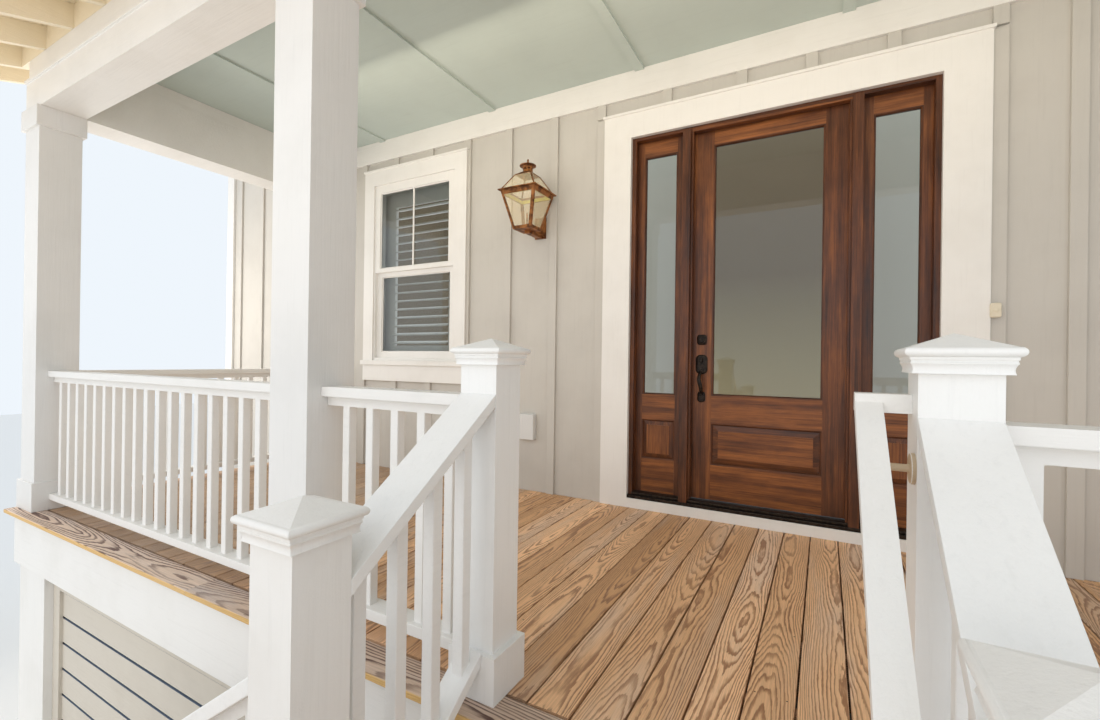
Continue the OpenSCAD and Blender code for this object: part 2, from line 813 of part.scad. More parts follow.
// The doorbell on the door casing and the cover of the outlet beside it
module wall_fittings() {
    color([0.86, 0.8, 0.66])
        block(casing_out - 4, casing_out - 4 + bell_w, face_y - casing_t - 14, face_y - casing_t,
            deck_z + bell_h - bell_l / 2, deck_z + bell_h + bell_l / 2);
    color([0.85, 0.84, 0.82])
        block(outlet_x - outlet_w / 2, outlet_x + outlet_w / 2, face_y - 45, face_y,
            deck_z + outlet_low, deck_z + outlet_low + outlet_h);
}

module pier_pair(x) {
    both_sides() block(x - pier_w / 2, x + pier_w / 2, pier_front, pier_front + pier_w,
        0, rim_low);
}

module piers() {
    color(trim_white) {
        pier_pair(pier_x);
        pier_pair(inner_x);
    }
}

module deck_beams() {
    color(deck_brown) for (x = [pier_x, inner_x]) both_sides()
        block(x - deck_beam_w / 2, x + deck_beam_w / 2, rim_y + rim_t, face_y, rim_low,
            joist_low);
}

joists = 6;

module deck_joists() {
    color(deck_brown) for (i = [0 : joists - 1])
        let (y = rim_y + rim_t + 30 + i * (deck_d - nosing - rim_t - 60 - joist_t) / (joists - 1))
            block(-rim_half + rim_t, rim_half - rim_t, y, y + joist_t, joist_low, floor_low);
}

module rim_boards() {
    color(trim_white) {
        block(-rim_half, rim_half, rim_y, rim_y + rim_t, rim_low, floor_low);
        both_sides()
            block(rim_half - rim_t, rim_half, rim_y + rim_t, face_y, rim_low, floor_low);
    }
}

module deck_floor() {
    color(deck_brown) block(-deck_half, deck_half, front_y, face_y, floor_low, deck_z);
}

// Slats and their frame between x0 and x1, with the back of the frame at y = 0
module slat_panel(x0, x1, top) {
    pitch = slat_h + slat_gap;
    rows = ceil((top - first_slat) / pitch);
    for (x = [x0, x1 - skirt_frame_w])
        block(x, x + skirt_frame_w, -slat_t, 0, 0, top);
    for (z = [0, top - skirt_frame_w])
        block(x0 + skirt_frame_w, x1 - skirt_frame_w, -slat_t, 0, z, z + skirt_frame_w);
    block(x0, x1, 0, slat_t, top - first_slat, top);
    for (i = [1 : rows])
        let (z1 = top - first_slat - (i - 1) * pitch - slat_gap, z0 = max(0, z1 - slat_h))
            if (z1 - z0 > 4) block(x0, x1, 0, slat_t, z0, z1);
}

module skirt_panels() {
    color(siding_grey) {
        translate([0, skirt_y, 0]) {
            both_sides() slat_panel(inner_x + pier_w / 2, pier_x - pier_w / 2, rim_low);
            slat_panel(-inner_x + pier_w / 2, inner_x - pier_w / 2, rim_low);
        }
        both_sides() translate([pier_x + pier_w / 2 - 62, 0, 0]) rotate(90)
            slat_panel(pier_front + pier_w, face_y, rim_low);
        landing_skirt();
    }
}

// Places children in a frame that runs down the flight along +Y from a nosing at the origin
module upper_flight() {
    translate([stair_off, front_y, deck_z]) rotate(180) children();
}

module lower_flight() {
    translate([landing_left, (upper_low_y + front_newel_y) / 2, landing_z]) rotate(90)
        children();
}

module treads(first, last, back) {
    for (k = [1 : last])
        let (y0 = (k - 1) * step_depth - (k == 1 ? first : tread_lap))
            block(-step_half, step_half, y0, k * step_depth + (k == last ? back : 0),
                -k * rise - tread_t, -k * rise);
}

module risers(from, to) {
    for (k = [from : to])
        let (y1 = (k - 1) * step_depth - tread_lap, low = k == to ? -k * rise : -k * rise - tread_t)
            block(-step_half, step_half, y1 - riser_t, y1, low, -(k - 1) * rise - tread_t);
}

module stair_treads() {
    color(deck_brown) {
        upper_flight() treads(nosing, upper_steps - 1, 0);
        lower_flight() treads(tread_lap, lower_steps - 1, 0);
    }
}

module stair_risers() {
    color(trim_white) {
        upper_flight() risers(2, upper_steps);
        lower_flight() risers(2, lower_steps);
    }
}

// Outline of one sawtooth stringer under a flight, drawn with Y to the right and Z up
module stringer_outline(first, steps, low, foot) {
    depth = 130;
    difference() {
        union() for (k = [1 : steps - 1])
            let (y0 = k == 1 ? -first : (k - 1) * step_depth - tread_lap - riser_t,
                y1 = k * step_depth - tread_lap - riser_t, top = -k * rise - tread_t)
                polygon([[y0, top], [y1, top], [y1, top - rise - depth],
                    [y0, top - rise - depth]]);
        // Everything under the sloping lower edge
        polygon([[-first - 1, -rise - depth - tread_t + slope * first + slope],
            [-first - 1, -(steps + 3) * rise], [steps * step_depth, -(steps + 3) * rise],
            [steps * step_depth, -rise - depth - tread_t - slope * steps * step_depth]]);
        translate([foot, -(steps + 3) * rise]) square([steps * step_depth, (steps + 3) * rise + low]);
    }
}

module stringer_set(first, steps, low, foot) {
    for (x = [-step_half + stringer_t, stringer_t / 2, step_half])
        translate([x, 0, 0]) rotate([90, 0, 90]) translate([0, 0, -stringer_t])
            linear_extrude(stringer_t) stringer_outline(first, steps, low, foot);
}

module stair_stringers() {
    color(trim_white) {
        upper_flight() stringer_set(nosing, upper_steps, -upper_steps * rise,
            front_y - landing_back_y);
        lower_flight() stringer_set(tread_lap, lower_steps, -lower_steps * rise, 0);
    }
}

landing_rim_h = 184;
landing_rim_y = landing_front_y + tread_lap;

module landing_floor() {
    color(deck_brown)
        block(landing_left, landing_right, landing_front_y, landing_back_y,
            landing_z - tread_t, landing_z);
}

module landing_frame() {
    x0 = landing_left + tread_lap;
    x1 = landing_right - tread_lap;
    y0 = landing_rim_y;
    y1 = landing_back_y - tread_lap;
    z1 = landing_z - tread_t;
    z0 = z1 - landing_rim_h;
    color(trim_white) {
        difference() {
            block(x0, x1, y0, y1, z0, z1);
            block(x0 + stringer_t, x1 - stringer_t, y0 + stringer_t, y1 - stringer_t,
                z0 - 1, z1 + 1);
        }
        for (x = [-newel_x, newel_x], y = [front_newel_y, upper_low_y])
            block(stair_off + x - newel_w / 2, stair_off + x + newel_w / 2,
                y - newel_w / 2, y + newel_w / 2, 0, z1);
    }
}

module column(x) {
    translate([x, column_y, deck_z]) {
        translate([-col_w / 2, -col_d / 2, 0]) cube([col_w, col_d, beam_low]);
        translate([-col_w / 2 - wrap_t, -col_d / 2 - wrap_t, 0])
            cube([col_w + 2 * wrap_t, col_d + 2 * wrap_t, plinth_h]);
        translate([-col_w / 2 - plinth_out, -col_d / 2 - plinth_out, beam_low - capital_h])
            cube([col_w + 2 * plinth_out, col_d + 2 * plinth_out, capital_h]);
    }
}

module columns() {
    color(trim_white) both_sides() {
        column(col_x);
        column(inner_x);
    }
}

// Half outline of a newel's cap: cove and beads under a round-edged slab and a low pyramid
module cap_outline() {
    shaft = newel_w / 2;
    nose_r = 9.5;
    nose_z = 42.5;
    nose_x = shaft + cap_out - nose_r;
    cove_r = 18.25;
    difference() {
        union() {
            square([shaft + 12, 8]);
            square([shaft + 15, 23]);
            square([shaft + 14, 27]);
            translate([0, 27]) square([shaft + 16, nose_z - 27]);
            translate([0, nose_z - nose_r]) square([nose_x, 2 * nose_r]);
            translate([nose_x, nose_z]) circle(r = nose_r);
            polygon([[0, nose_z + nose_r], [nose_x, nose_z + nose_r], [0, cap_h]]);
        }
        translate([shaft + 10.5 + cove_r, 8]) circle(r = cove_r);
        translate([-shaft - cap_out, 0]) square([shaft + cap_out, cap_h]);
    }
}

module cap_bar() {
    rotate([90, 0, 0]) translate([0, 0, -newel_w]) linear_extrude(2 * newel_w) {
        cap_outline();
        mirror([1, 0]) cap_outline();
    }
}

module newel(x, y, z, h) {
    translate([x, y, z]) {
        translate([-newel_w / 2, -newel_w / 2, 0]) cube([newel_w, newel_w, h]);
        translate([-newel_w / 2 - plinth_out, -newel_w / 2 - plinth_out, 0])
            cube([newel_w + 2 * plinth_out, newel_w + 2 * plinth_out, newel_plinth_h]);
        translate([0, 0, h]) intersection() {
            cap_bar();
            rotate(90) cap_bar();
        }
    }
}

module upper_newels() {
    color(trim_white) for (x = [-newel_x, newel_x])
        newel(stair_off + x, newel_row_y, deck_z, newel_h);
}

module landing_newels() {
    color(trim_white) for (x = [-newel_x, newel_x], y = [front_newel_y, upper_low_y])
        newel(stair_off + x, y, landing_z, landing_newel_h);
}

module foot_newels() {
    color(trim_white) for (y = [front_newel_y, upper_low_y])
        newel(foot_newel_x, y, 0, landing_newel_h);
}

// A level guard along X between two posts, with its middle at y = 0 and the floor at z = 0;
// its bottom rail ends against the boards round the posts' feet
module guard(x0, x1, foot0, foot1) {
    length = x1 - x0;
    bays = floor((length - 0.8 * baluster_pitch) / baluster_pitch);
    first = x0 + (length - bays * baluster_pitch) / 2;
    under = guard_h - rail_t;
    block(x0, x1, -rail_w / 2, rail_w / 2, under, guard_h);
    block(x0, x1, -baluster_w / 2, baluster_w / 2, under - sub_rail_h, under);
    block(x0 + foot0, x1 - foot1, -bottom_rail_w / 2, bottom_rail_w / 2, bottom_gap,
        bottom_gap + rail_t);
    for (i = [0 : bays])
        translate([first + i * baluster_pitch - baluster_w / 2, -baluster_w / 2,
            bottom_gap + rail_t])
            cube([baluster_w, baluster_w, under - sub_rail_h - bottom_gap - rail_t]);
}

module front_guards() {
    color(trim_white) translate([0, column_y, deck_z]) {
        both_sides() guard(inner_x + col_w / 2, col_x - col_w / 2, wrap_t, wrap_t);
        guard(-inner_x + col_w / 2, stair_off - walk_half - newel_w, wrap_t, plinth_out);
        guard(stair_off + walk_half + newel_w, inner_x - col_w / 2, plinth_out, wrap_t);
    }
}

module side_guards() {
    color(trim_white) both_sides() translate([col_x, 0, deck_z]) rotate(90)
        guard(column_y + col_d / 2, face_y, wrap_t, 0);
}

// A sloping guard that runs down along +Y between two posts, at the height of its nosing line
module sloped_guard(y0, y1) {
    length = y1 - y0;
    bays = floor((length - 0.8 * baluster_pitch) / baluster_pitch);
    first = y0 + (length - bays * baluster_pitch) / 2;
    top = stair_rail_h;
    under = top - rail_t;
    low = bottom_gap - 5;
    module rail(z0, z1, w, y2) {
        translate([-w / 2, 0, 0]) rotate([90, 0, 90]) linear_extrude(w)
            polygon([[y2, z0 - slope * y2], [y1, z0 - slope * y1], [y1, z1 - slope * y1],
                [y2, z1 - slope * y2]]);
    }
    rail(under, top, newel_w, y0);
    rail(under - sub_rail_h, under, baluster_w, y0);
    rail(low, low + rail_t, bottom_rail_w, y0 + plinth_out);
    for (i = [0 : bays])
        let (y = first + i * baluster_pitch)
            translate([-baluster_w / 2, 0, 0]) rotate([90, 0, 90]) linear_extrude(baluster_w)
                polygon([[y - baluster_w / 2, low + 9 - slope * (y - baluster_w / 2)],
                    [y + baluster_w / 2, low + 9 - slope * (y + baluster_w / 2)],
                    [y + baluster_w / 2, under - 9 - slope * (y + baluster_w / 2)],
                    [y - baluster_w / 2, under - 9 - slope * (y - baluster_w / 2)]]);
}

// The guards down both flights and those on the two open sides of the landing
module stair_guards() {
    upper_y0 = front_y - newel_row_y + newel_w / 2;
    upper_y1 = front_y - upper_low_y - newel_w / 2;
    lower_y0 = landing_left - stair_off + newel_x + newel_w / 2;
    lower_y1 = landing_left - foot_newel_x - newel_w / 2;
    color(trim_white) {
        upper_flight() for (x = [-newel_x, newel_x])
            translate([x, 0, 0]) sloped_guard(upper_y0, upper_y1);
        lower_flight() for (x = [-newel_x, newel_x])
            translate([x, 0, 0]) sloped_guard(lower_y0, lower_y1);
        translate([0, front_newel_y, landing_z])
            guard(stair_off - walk_half, stair_off + walk_half, plinth_out, plinth_out);
        translate([stair_off + newel_x, 0, landing_z]) rotate(90)
            guard(front_newel_y + newel_w / 2, upper_low_y - newel_w / 2, plinth_out, plinth_out);
    }
}

grip_mid = stair_off + walk_half - grip_gap - grip_w / 2;
grip_up_y = newel_row_y + 30;
grip_low_y = upper_low_y - 30;
grip_up_z = deck_z + 822 - slope * (front_y - grip_up_y) - grip_h / 2;
grip_foot_z = deck_z + 822 - slope * (front_y - grip_low_y) - grip_h / 2;

module handrail() {
    reach = stair_off + walk_half;
    color(trim_white) {
        translate([grip_mid - grip_w / 2, 0, 0]) rotate([90, 0, 90]) linear_extrude(grip_w)
            polygon([[grip_up_y, grip_up_z - grip_h / 2], [grip_up_y, grip_up_z + grip_h / 2],
                [grip_low_y, grip_foot_z + grip_h / 2],
                [grip_low_y, grip_foot_z - grip_h / 2]]);
        // Level returns into the posts
        block(grip_mid - grip_w / 2, reach, grip_up_y - grip_w / 2, grip_up_y + grip_w / 2,
            grip_up_z - grip_h / 2, grip_up_z + grip_h / 2);
        block(grip_mid - grip_w / 2, reach, grip_low_y - grip_w / 2, grip_low_y + grip_w / 2,
            grip_foot_z - grip_h / 2, grip_foot_z + grip_h / 2);
        for (y = [newel_row_y - 35, upper_low_y + 35])
            handrail_bracket(y);
    }
}

module handrail_bracket(y) {
    z = deck_z + 822 - slope * (front_y - y) - grip_h;
    reach = stair_off + walk_half;
    translate([reach, y, z - 62]) rotate([0, -90, 0]) cylinder(h = 8, d = 62);
    translate([reach, y, z - 62]) rotate([0, -90, 0]) cylinder(h = reach - grip_mid + 8, d = 14);
    translate([grip_mid, y, z - 62]) cylinder(h = 72, d = 14);
}

band_t = 12;
seat_gap = 0.2;

// Outline of the front beam, drawn with Y to the right and Z up
module beam_outline() {
    seat_y = beam_y0 + beam_seat;
    upper_y = beam_y0 + band_t;
    polygon([[beam_y0, beam_z], [beam_y1, beam_z], [beam_y1, ceiling_up], [seat_y, ceiling_up],
        [seat_y, rafter_z(seat_y) - seat_gap], [upper_y, rafter_z(upper_y) - seat_gap],
        [upper_y, beam_z + band_h], [beam_y0 - band_t, beam_z + band_h],
        [beam_y0 - band_t, beam_z + band_h - 20], [beam_y0, beam_z + band_h - 20]]);
}

// Extrudes an outline drawn in Y and Z between two places along X
module along_x(x0, x1) {
    translate([x0, 0, 0]) rotate([90, 0, 90]) linear_extrude(x1 - x0) children();
}

// The front beam and those at the ends, which leave a gap under the ceiling behind their
// outer boards
module roof_beams() {
    color(trim_white) {
        along_x(-side_beam_out, side_beam_out) beam_outline();
        both_sides() {
            block(side_beam_in, side_board_in, beam_y1, face_y, beam_z, beam_z + side_beam_h);
            block(side_board_in, side_beam_out, beam_y1, face_y, beam_z, ceiling_up);
        }
    }
}

ceiling_first = -816;

module porch_ceiling() {
    color([0.75, 0.78, 0.75]) {
        block(-side_board_in, side_board_in, beam_y1, face_y, ceiling_low, ceiling_up);
        for (x = [ceiling_first - 2 * ceiling_pitch : ceiling_pitch : side_beam_in - 100])
            block(x - ceiling_batten_w / 2, x + ceiling_batten_w / 2, beam_y1, face_y - trim_t,
                ceiling_low - 15, ceiling_low);
    }
}

eave_y = beam_y0 - eave;

module rafter_outline(seat) {
    difference() {
        polygon([[eave_y, rafter_z(eave_y)], [face_y, rafter_z(face_y)],
            [face_y, rafter_z(face_y) + rafter_v], [eave_y, rafter_z(eave_y) + rafter_v]]);
        if (seat) translate([beam_y0 + beam_seat, 0]) square([deck_d, ceiling_up]);
    }
}

half_rafters = floor((rake_x - 250) / rafter_pitch - 0.5);
gable_t = 60;

module roof_rafters() {
    color(trim_white) both_sides() {
        for (i = [0 : half_rafters])
            let (x = rafter_pitch * (i + 0.5))
                along_x(x - rafter_t / 2, x + rafter_t / 2)
                    rafter_outline(x < side_beam_out);
        along_x(rake_x - rafter_t / 2, rake_x + rafter_t / 2) rafter_outline(false);
    }
}

// Boards between the rafters over the front beam, and the walls over the side beams
module rafter_blocking() {
    y0 = beam_y0 + band_t;
    y1 = y0 + rafter_t;
    color(trim_white) {
        along_x(-rafter_pitch / 2 + rafter_t / 2, rafter_pitch / 2 - rafter_t / 2)
            blocking_outline(y0, y1);
        both_sides() for (i = [0 : half_rafters - 1])
            along_x(rafter_pitch * (i + 0.5) + rafter_t / 2,
                rafter_pitch * (i + 1.5) - rafter_t / 2)
                blocking_outline(y0, y1);
        both_sides() along_x(side_beam_out - gable_t, side_beam_out) polygon([[beam_y1, ceiling_up],
            [face_y, ceiling_up], [face_y, rafter_z(face_y) + rafter_v - seat_gap],
            [beam_y1, rafter_z(beam_y1) + rafter_v - seat_gap]]);
    }
}

module blocking_outline(y0, y1) {
    polygon([[y0, rafter_z(y0)], [y1, rafter_z(y1)], [y1, rafter_z(y1) + rafter_v - seat_gap],
        [y0, rafter_z(y0) + rafter_v - seat_gap]]);
}

module roof_deck() {
    y0 = eave_y - 30;
    color([0.5, 0.5, 0.5]) along_x(-roof_half, roof_half)
        polygon([[y0, rafter_z(y0) + rafter_v], [face_y, rafter_z(face_y) + rafter_v],
            [face_y, rafter_z(face_y) + rafter_v + roof_t], [y0, rafter_z(y0) + rafter_v + roof_t]]);
}

// The slats between the posts under the front and the right side of the landing
module landing_skirt() {
    top = landing_z - tread_t - landing_rim_h;
    translate([0, front_newel_y - newel_w / 2 + slat_t + 10, 0])
        slat_panel(stair_off - walk_half, stair_off + walk_half, top);
    translate([stair_off + newel_x + newel_w / 2 - slat_t - 10, 0, 0]) rotate(90)
        slat_panel(front_newel_y + newel_w / 2, upper_low_y - newel_w / 2, top);
}

foundation_wall();
wall_left();
wall_right();
wall_over_door();
siding_battens();
wall_trim();
door_casing();
window_casings();
window_sashes();
window_glass();
window_shutters();
door_frame();
sidelights();
sidelight_glass();
door_hinges();
door_slab();
door_glass();
door_handle();
lantern_frame();
lantern_glass();
wall_fittings();
piers();
deck_beams();
deck_joists();
rim_boards();
deck_floor();
skirt_panels();
stair_stringers();
stair_treads();
stair_risers();
landing_floor();
landing_frame();
columns();
upper_newels();
landing_newels();
foot_newels();
front_guards();
side_guards();
stair_guards();
handrail();
roof_beams();
porch_ceiling();
roof_rafters();
rafter_blocking();
roof_deck();
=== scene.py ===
import math
import random

import bmesh
import bpy
from mathutils import Matrix, Vector


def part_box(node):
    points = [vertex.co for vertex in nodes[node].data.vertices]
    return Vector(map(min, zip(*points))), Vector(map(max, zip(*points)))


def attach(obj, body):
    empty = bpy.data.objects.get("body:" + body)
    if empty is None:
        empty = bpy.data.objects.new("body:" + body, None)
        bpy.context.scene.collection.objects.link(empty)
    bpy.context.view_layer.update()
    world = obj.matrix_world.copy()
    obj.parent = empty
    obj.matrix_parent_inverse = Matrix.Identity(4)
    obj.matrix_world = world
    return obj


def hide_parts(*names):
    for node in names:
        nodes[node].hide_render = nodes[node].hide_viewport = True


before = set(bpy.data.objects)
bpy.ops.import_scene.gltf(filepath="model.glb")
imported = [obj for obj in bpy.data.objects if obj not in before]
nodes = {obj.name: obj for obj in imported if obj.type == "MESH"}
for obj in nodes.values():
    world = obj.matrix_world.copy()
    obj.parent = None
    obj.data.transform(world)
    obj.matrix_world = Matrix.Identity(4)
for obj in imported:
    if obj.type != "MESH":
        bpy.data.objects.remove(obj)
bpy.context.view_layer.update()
print("frame loaded:", len(nodes), "nodes")

alongX = Vector((1, 0, 0))
alongY = Vector((0, 1, 0))
alongZ = Vector((0, 0, 1))

# Camera: stands over the landing and looks left along the porch
cameraSettings = {"place": (0.332, -3.400, 2.614), "turn": 28.88, "tilt": 0.076, "roll": 0.802,
                  "lens": 16.308}


def makeCamera(v):
    data = bpy.data.cameras.new("porchCamera")
    data.lens = v["lens"]
    data.clip_start = 0.05
    camera = bpy.data.objects.new("porchCamera", data)
    turn = Matrix.Rotation(math.radians(v["turn"]), 4, "Z")
    tilt = Matrix.Rotation(math.radians(90 + v["tilt"]), 4, "X")
    roll = Matrix.Rotation(math.radians(v["roll"]), 4, "Z")
    camera.matrix_world = Matrix.Translation(v["place"]) @ turn @ tilt @ roll
    bpy.context.collection.objects.link(camera)
    bpy.context.scene.camera = camera


makeCamera(cameraSettings)


# Shader node helpers
def addNode(tree, kind, inputs=None, **settings):
    made = tree.nodes.new(kind)
    for key, value in settings.items():
        setattr(made, key, value)
    for key, value in (inputs or {}).items():
        if isinstance(value, bpy.types.NodeSocket):
            tree.links.new(value, made.inputs[key])
        else:
            made.inputs[key].default_value = value
    return made


def newMaterial(name):
    material = bpy.data.materials.new(name)
    material.use_nodes = True
    tree = material.node_tree
    return material, tree, tree.nodes["Principled BSDF"]


def calc(tree, operation, first, second=0.0):
    return addNode(tree, "ShaderNodeMath", {0: first, 1: second}, operation=operation).outputs[0]


def addShare(tree, base, value, share):
    return calc(tree, "ADD", base, calc(tree, "MULTIPLY", value, share))


def mixColour(tree, amount, first, second, blend="MIX"):
    mixed = addNode(tree, "ShaderNodeMix", data_type="RGBA", blend_type=blend)
    for key, value in (("Factor", amount), ("A", first), ("B", second)):
        socket = [s for s in mixed.inputs if s.name == key and s.enabled][0]
        if isinstance(value, bpy.types.NodeSocket):
            tree.links.new(value, socket)
        else:
            socket.default_value = value
    return [s for s in mixed.outputs if s.enabled][0]


def remap(tree, value, low, high, newLow=0.0, newHigh=1.0, smooth=False):
    kind = "SMOOTHSTEP" if smooth else "LINEAR"
    return addNode(tree, "ShaderNodeMapRange",
                   {"Value": value, "From Min": low, "From Max": high, "To Min": newLow,
                    "To Max": newHigh}, interpolation_type=kind).outputs[0]


def noise(tree, vector, scale=1.0, detail=3.0, roughness=0.5):
    return addNode(tree, "ShaderNodeTexNoise", {"Vector": vector, "Scale": scale, "Detail": detail,
                                                "Roughness": roughness}).outputs["Fac"]


def ramp(tree, value, stops):
    made = addNode(tree, "ShaderNodeValToRGB", {"Fac": value})
    elements = made.color_ramp.elements
    while len(elements) < len(stops):
        elements.new(0.5)
    for element, (place, colour) in zip(elements, stops):
        element.position = place
        element.color = rgb(colour)
    return made.outputs["Color"]


def rgb(colour):
    return (*colour, 1.0)


def stretched(tree, place, scale):
    return addNode(tree, "ShaderNodeVectorMath", {0: place, 1: scale},
                   operation="MULTIPLY").outputs[0]


def objectPlace(tree):
    return addNode(tree, "ShaderNodeTexCoord").outputs["Object"]


# Each vertex of a board carries its place in the log and its shade
def boardGrain(tree):
    return addNode(tree, "ShaderNodeAttribute", attribute_name="grain").outputs["Vector"]


def boardTone(tree):
    return addNode(tree, "ShaderNodeAttribute", attribute_name="tone").outputs["Fac"]


def axisParts(tree, vector):
    return addNode(tree, "ShaderNodeSeparateXYZ", {0: vector}).outputs


# How far a face looks along one axis: 1 on the faces square to it
def facing(tree, axis, sign=1):
    normal = addNode(tree, "ShaderNodeNewGeometry").outputs["Normal"]
    return remap(tree, calc(tree, "MULTIPLY", axisParts(tree, normal)[axis], sign), 0.6, 0.85)


# Roughness that strays with a pattern, by stray at its low and its high places
def unevenGloss(tree, pattern, roughness, stray):
    return remap(tree, pattern, 0.3, 0.7, roughness + stray[0], roughness + stray[1])


def bump(tree, shader, height, distance, strength=1.0):
    made = addNode(tree, "ShaderNodeBump", {"Height": height, "Strength": strength,
                                            "Distance": distance})
    tree.links.new(made.outputs[0], shader.inputs["Normal"])


# Mesh helpers: every vertex knows its place in the log that its board was sawn from
def newSolid():
    solid = bmesh.new()
    solid.verts.layers.float_vector.new("grain")
    solid.verts.layers.float.new("tone")
    return solid


def addVert(solid, place, grain=(0, 0, 0), tone=0.5):
    made = solid.verts.new(place)
    made[solid.verts.layers.float_vector["grain"]] = Vector(grain)
    made[solid.verts.layers.float["tone"]] = tone
    return made


def skin(solid, loops):
    count = len(loops[0])
    for first, second in zip(loops, loops[1:]):
        for k in range(count):
            after = (k + 1) % count
            solid.faces.new((first[k], first[after], second[after], second[k]))
    solid.faces.new(list(reversed(loops[0])))
    solid.faces.new(loops[-1])


def pickLog(rng, middle=0.0, spread=0.04, depth=(0.045, 0.11), tone=(0.25, 0.75)):
    return {"shift": rng.uniform(0, 40), "v": middle + rng.uniform(-spread, spread),
            "w": -rng.uniform(*depth), "tone": rng.uniform(*tone)}


# Door wood is sawn from anywhere in a thick log
def pickDoorLog(rng, middle, tone):
    return pickLog(rng, middle, 0.05, (0.02, 0.2), tone)


# For pieces whose finish shows no grain
plainLog = {"shift": 0.0, "v": 0.0, "w": 0.0, "tone": 0.5}


# A bar of any profile along the first axis, its ends square or cut on a slant
def addStick(solid, axes, start, length, profile, log, cut=(0.0, 0.0)):
    along, across, up = axes
    loops = []
    for far, slant in ((0.0, cut[0]), (length, cut[1])):
        loop = []
        for v, w in profile:
            u = far + slant * v
            place = Vector(start) + along * u + across * v + up * w
            grain = (u + log["shift"], v - log["v"], w - log["w"])
            loop.append(addVert(solid, place, grain, log["tone"]))
        loops.append(loop)
    skin(solid, loops)


# How both ends of a stick slant where it is mitred
mitred = (1.0, -1.0)


# A mitred frame: where each side starts, where it runs, where its inside lies and how long it is
def frameSides(low, high, first, second):
    (a0, b0), (a1, b1) = low, high
    return (((a0, b0), first, second, a1 - a0), ((a1, b0), second, -first, b1 - b0),
            ((a1, b1), -first, -second, a1 - a0), ((a0, b1), -second, first, b1 - b0))


# A rectangle with rounded corners
def easedProfile(v0, v1, w0, w1, radius, steps=2):
    points = []
    for v, w, turn in ((v1 - radius, w1 - radius, 0), (v0 + radius, w1 - radius, 90),
                       (v0 + radius, w0 + radius, 180), (v1 - radius, w0 + radius, 270)):
        for k in range(steps + 1):
            angle = math.radians(turn + 90 * k / steps)
            points.append((v + radius * math.cos(angle), w + radius * math.sin(angle)))
    return points


# A rectangle made smaller by the same width on all sides
def inset(rect, width):
    return (rect[0] + width, rect[1] - width, rect[2] + width, rect[3] - width)


# Keeps the points of a closed tip or a sharp corner apart
leastRadius = 0.0002


# A stack of rectangles in X and Z, each with its inset and its place in Y
def addTiers(solid, rect, tiers, log, upright=True, corner=0.0, steps=1):
    loops = []
    for width, y in tiers:
        x0, x1, z0, z1 = inset(rect, width)
        if corner > 0:
            outline = easedProfile(x0, x1, z0, z1, max(corner - width, leastRadius), steps)
        else:
            outline = [(x1, z1), (x0, z1), (x0, z0), (x1, z0)]
        loop = []
        for x, z in outline:
            u, v = (z, x) if upright else (x, z)
            grain = (u + log["shift"], v - log["v"], y - log["w"])
            loop.append(addVert(solid, (x, y, z), grain, log["tone"]))
        loops.append(loop)
    skin(solid, loops)


# A turned piece: rings of (radius, distance) along an axis from centre
def addTurned(solid, centre, axis, rings, sides=24):
    across = alongX if abs(axis.x) < 0.5 else alongY
    side = axis.cross(across).normalized()
    across = side.cross(axis).normalized()
    loops = []
    for radius, distance in rings:
        loop = []
        for k in range(sides):
            angle = 2 * math.pi * k / sides
            spoke = across * math.cos(angle) + side * math.sin(angle)
            place = Vector(centre) + axis * distance + spoke * max(radius, leastRadius)
            loop.append(addVert(solid, place, place))
        loops.append(loop)
    skin(solid, loops)


# A round bar through points, with a radius at each, drawn out sideways by width
def addBar(solid, points, radii, width, sides):
    loops = []
    for k, (point, radius) in enumerate(zip(points, radii)):
        ahead = points[min(k + 1, len(points) - 1)] - points[max(k - 1, 0)]
        ahead.normalize()
        across = alongX if abs(ahead.x) < 0.9 else alongY
        across = (across - ahead * across.dot(ahead)).normalized()
        side = ahead.cross(across)
        loop = []
        for j in range(sides):
            angle = 2 * math.pi * j / sides
            spoke = across * (width * math.cos(angle)) + side * math.sin(angle)
            place = point + spoke * radius
            loop.append(addVert(solid, place, place))
        loops.append(loop)
    skin(solid, loops)


def makePiece(solid, name, material, body, replaced=(), smooth=None):
    bmesh.ops.recalc_face_normals(solid, faces=solid.faces)
    mesh = bpy.data.meshes.new(name)
    solid.to_mesh(mesh)
    solid.free()
    mesh.materials.append(material)
    if smooth is not None:
        mesh.shade_smooth()
        mesh.set_sharp_from_angle(angle=math.radians(smooth))
    piece = bpy.data.objects.new(name, mesh)
    bpy.context.collection.objects.link(piece)
    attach(piece, body)
    if replaced:
        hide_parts(*replaced)
    print("piece made:", name, len(mesh.polygons), "faces")


# The boxes of a node's separate solids, sorted from left to right, then front to back
def islandBoxes(name):
    mesh = nodes[name].data
    leader = {}
    places = [tuple(round(c, 5) for c in vert.co) for vert in mesh.vertices]

    # Follows the links to the vertex that stands for its whole solid
    def find(place):
        while leader.setdefault(place, place) != place:
            place = leader[place]
        return place

    for edge in mesh.edges:
        first, second = (find(places[k]) for k in edge.vertices)
        leader[first] = second
    groups = {}
    for place in places:
        groups.setdefault(find(place), []).append(place)
    boxes = []
    for group in groups.values():
        low = Vector([min(p[k] for p in group) for k in range(3)])
        high = Vector([max(p[k] for p in group) for k in range(3)])
        boxes.append((low, high))
    return sorted(boxes, key=lambda box: tuple(box[0]))


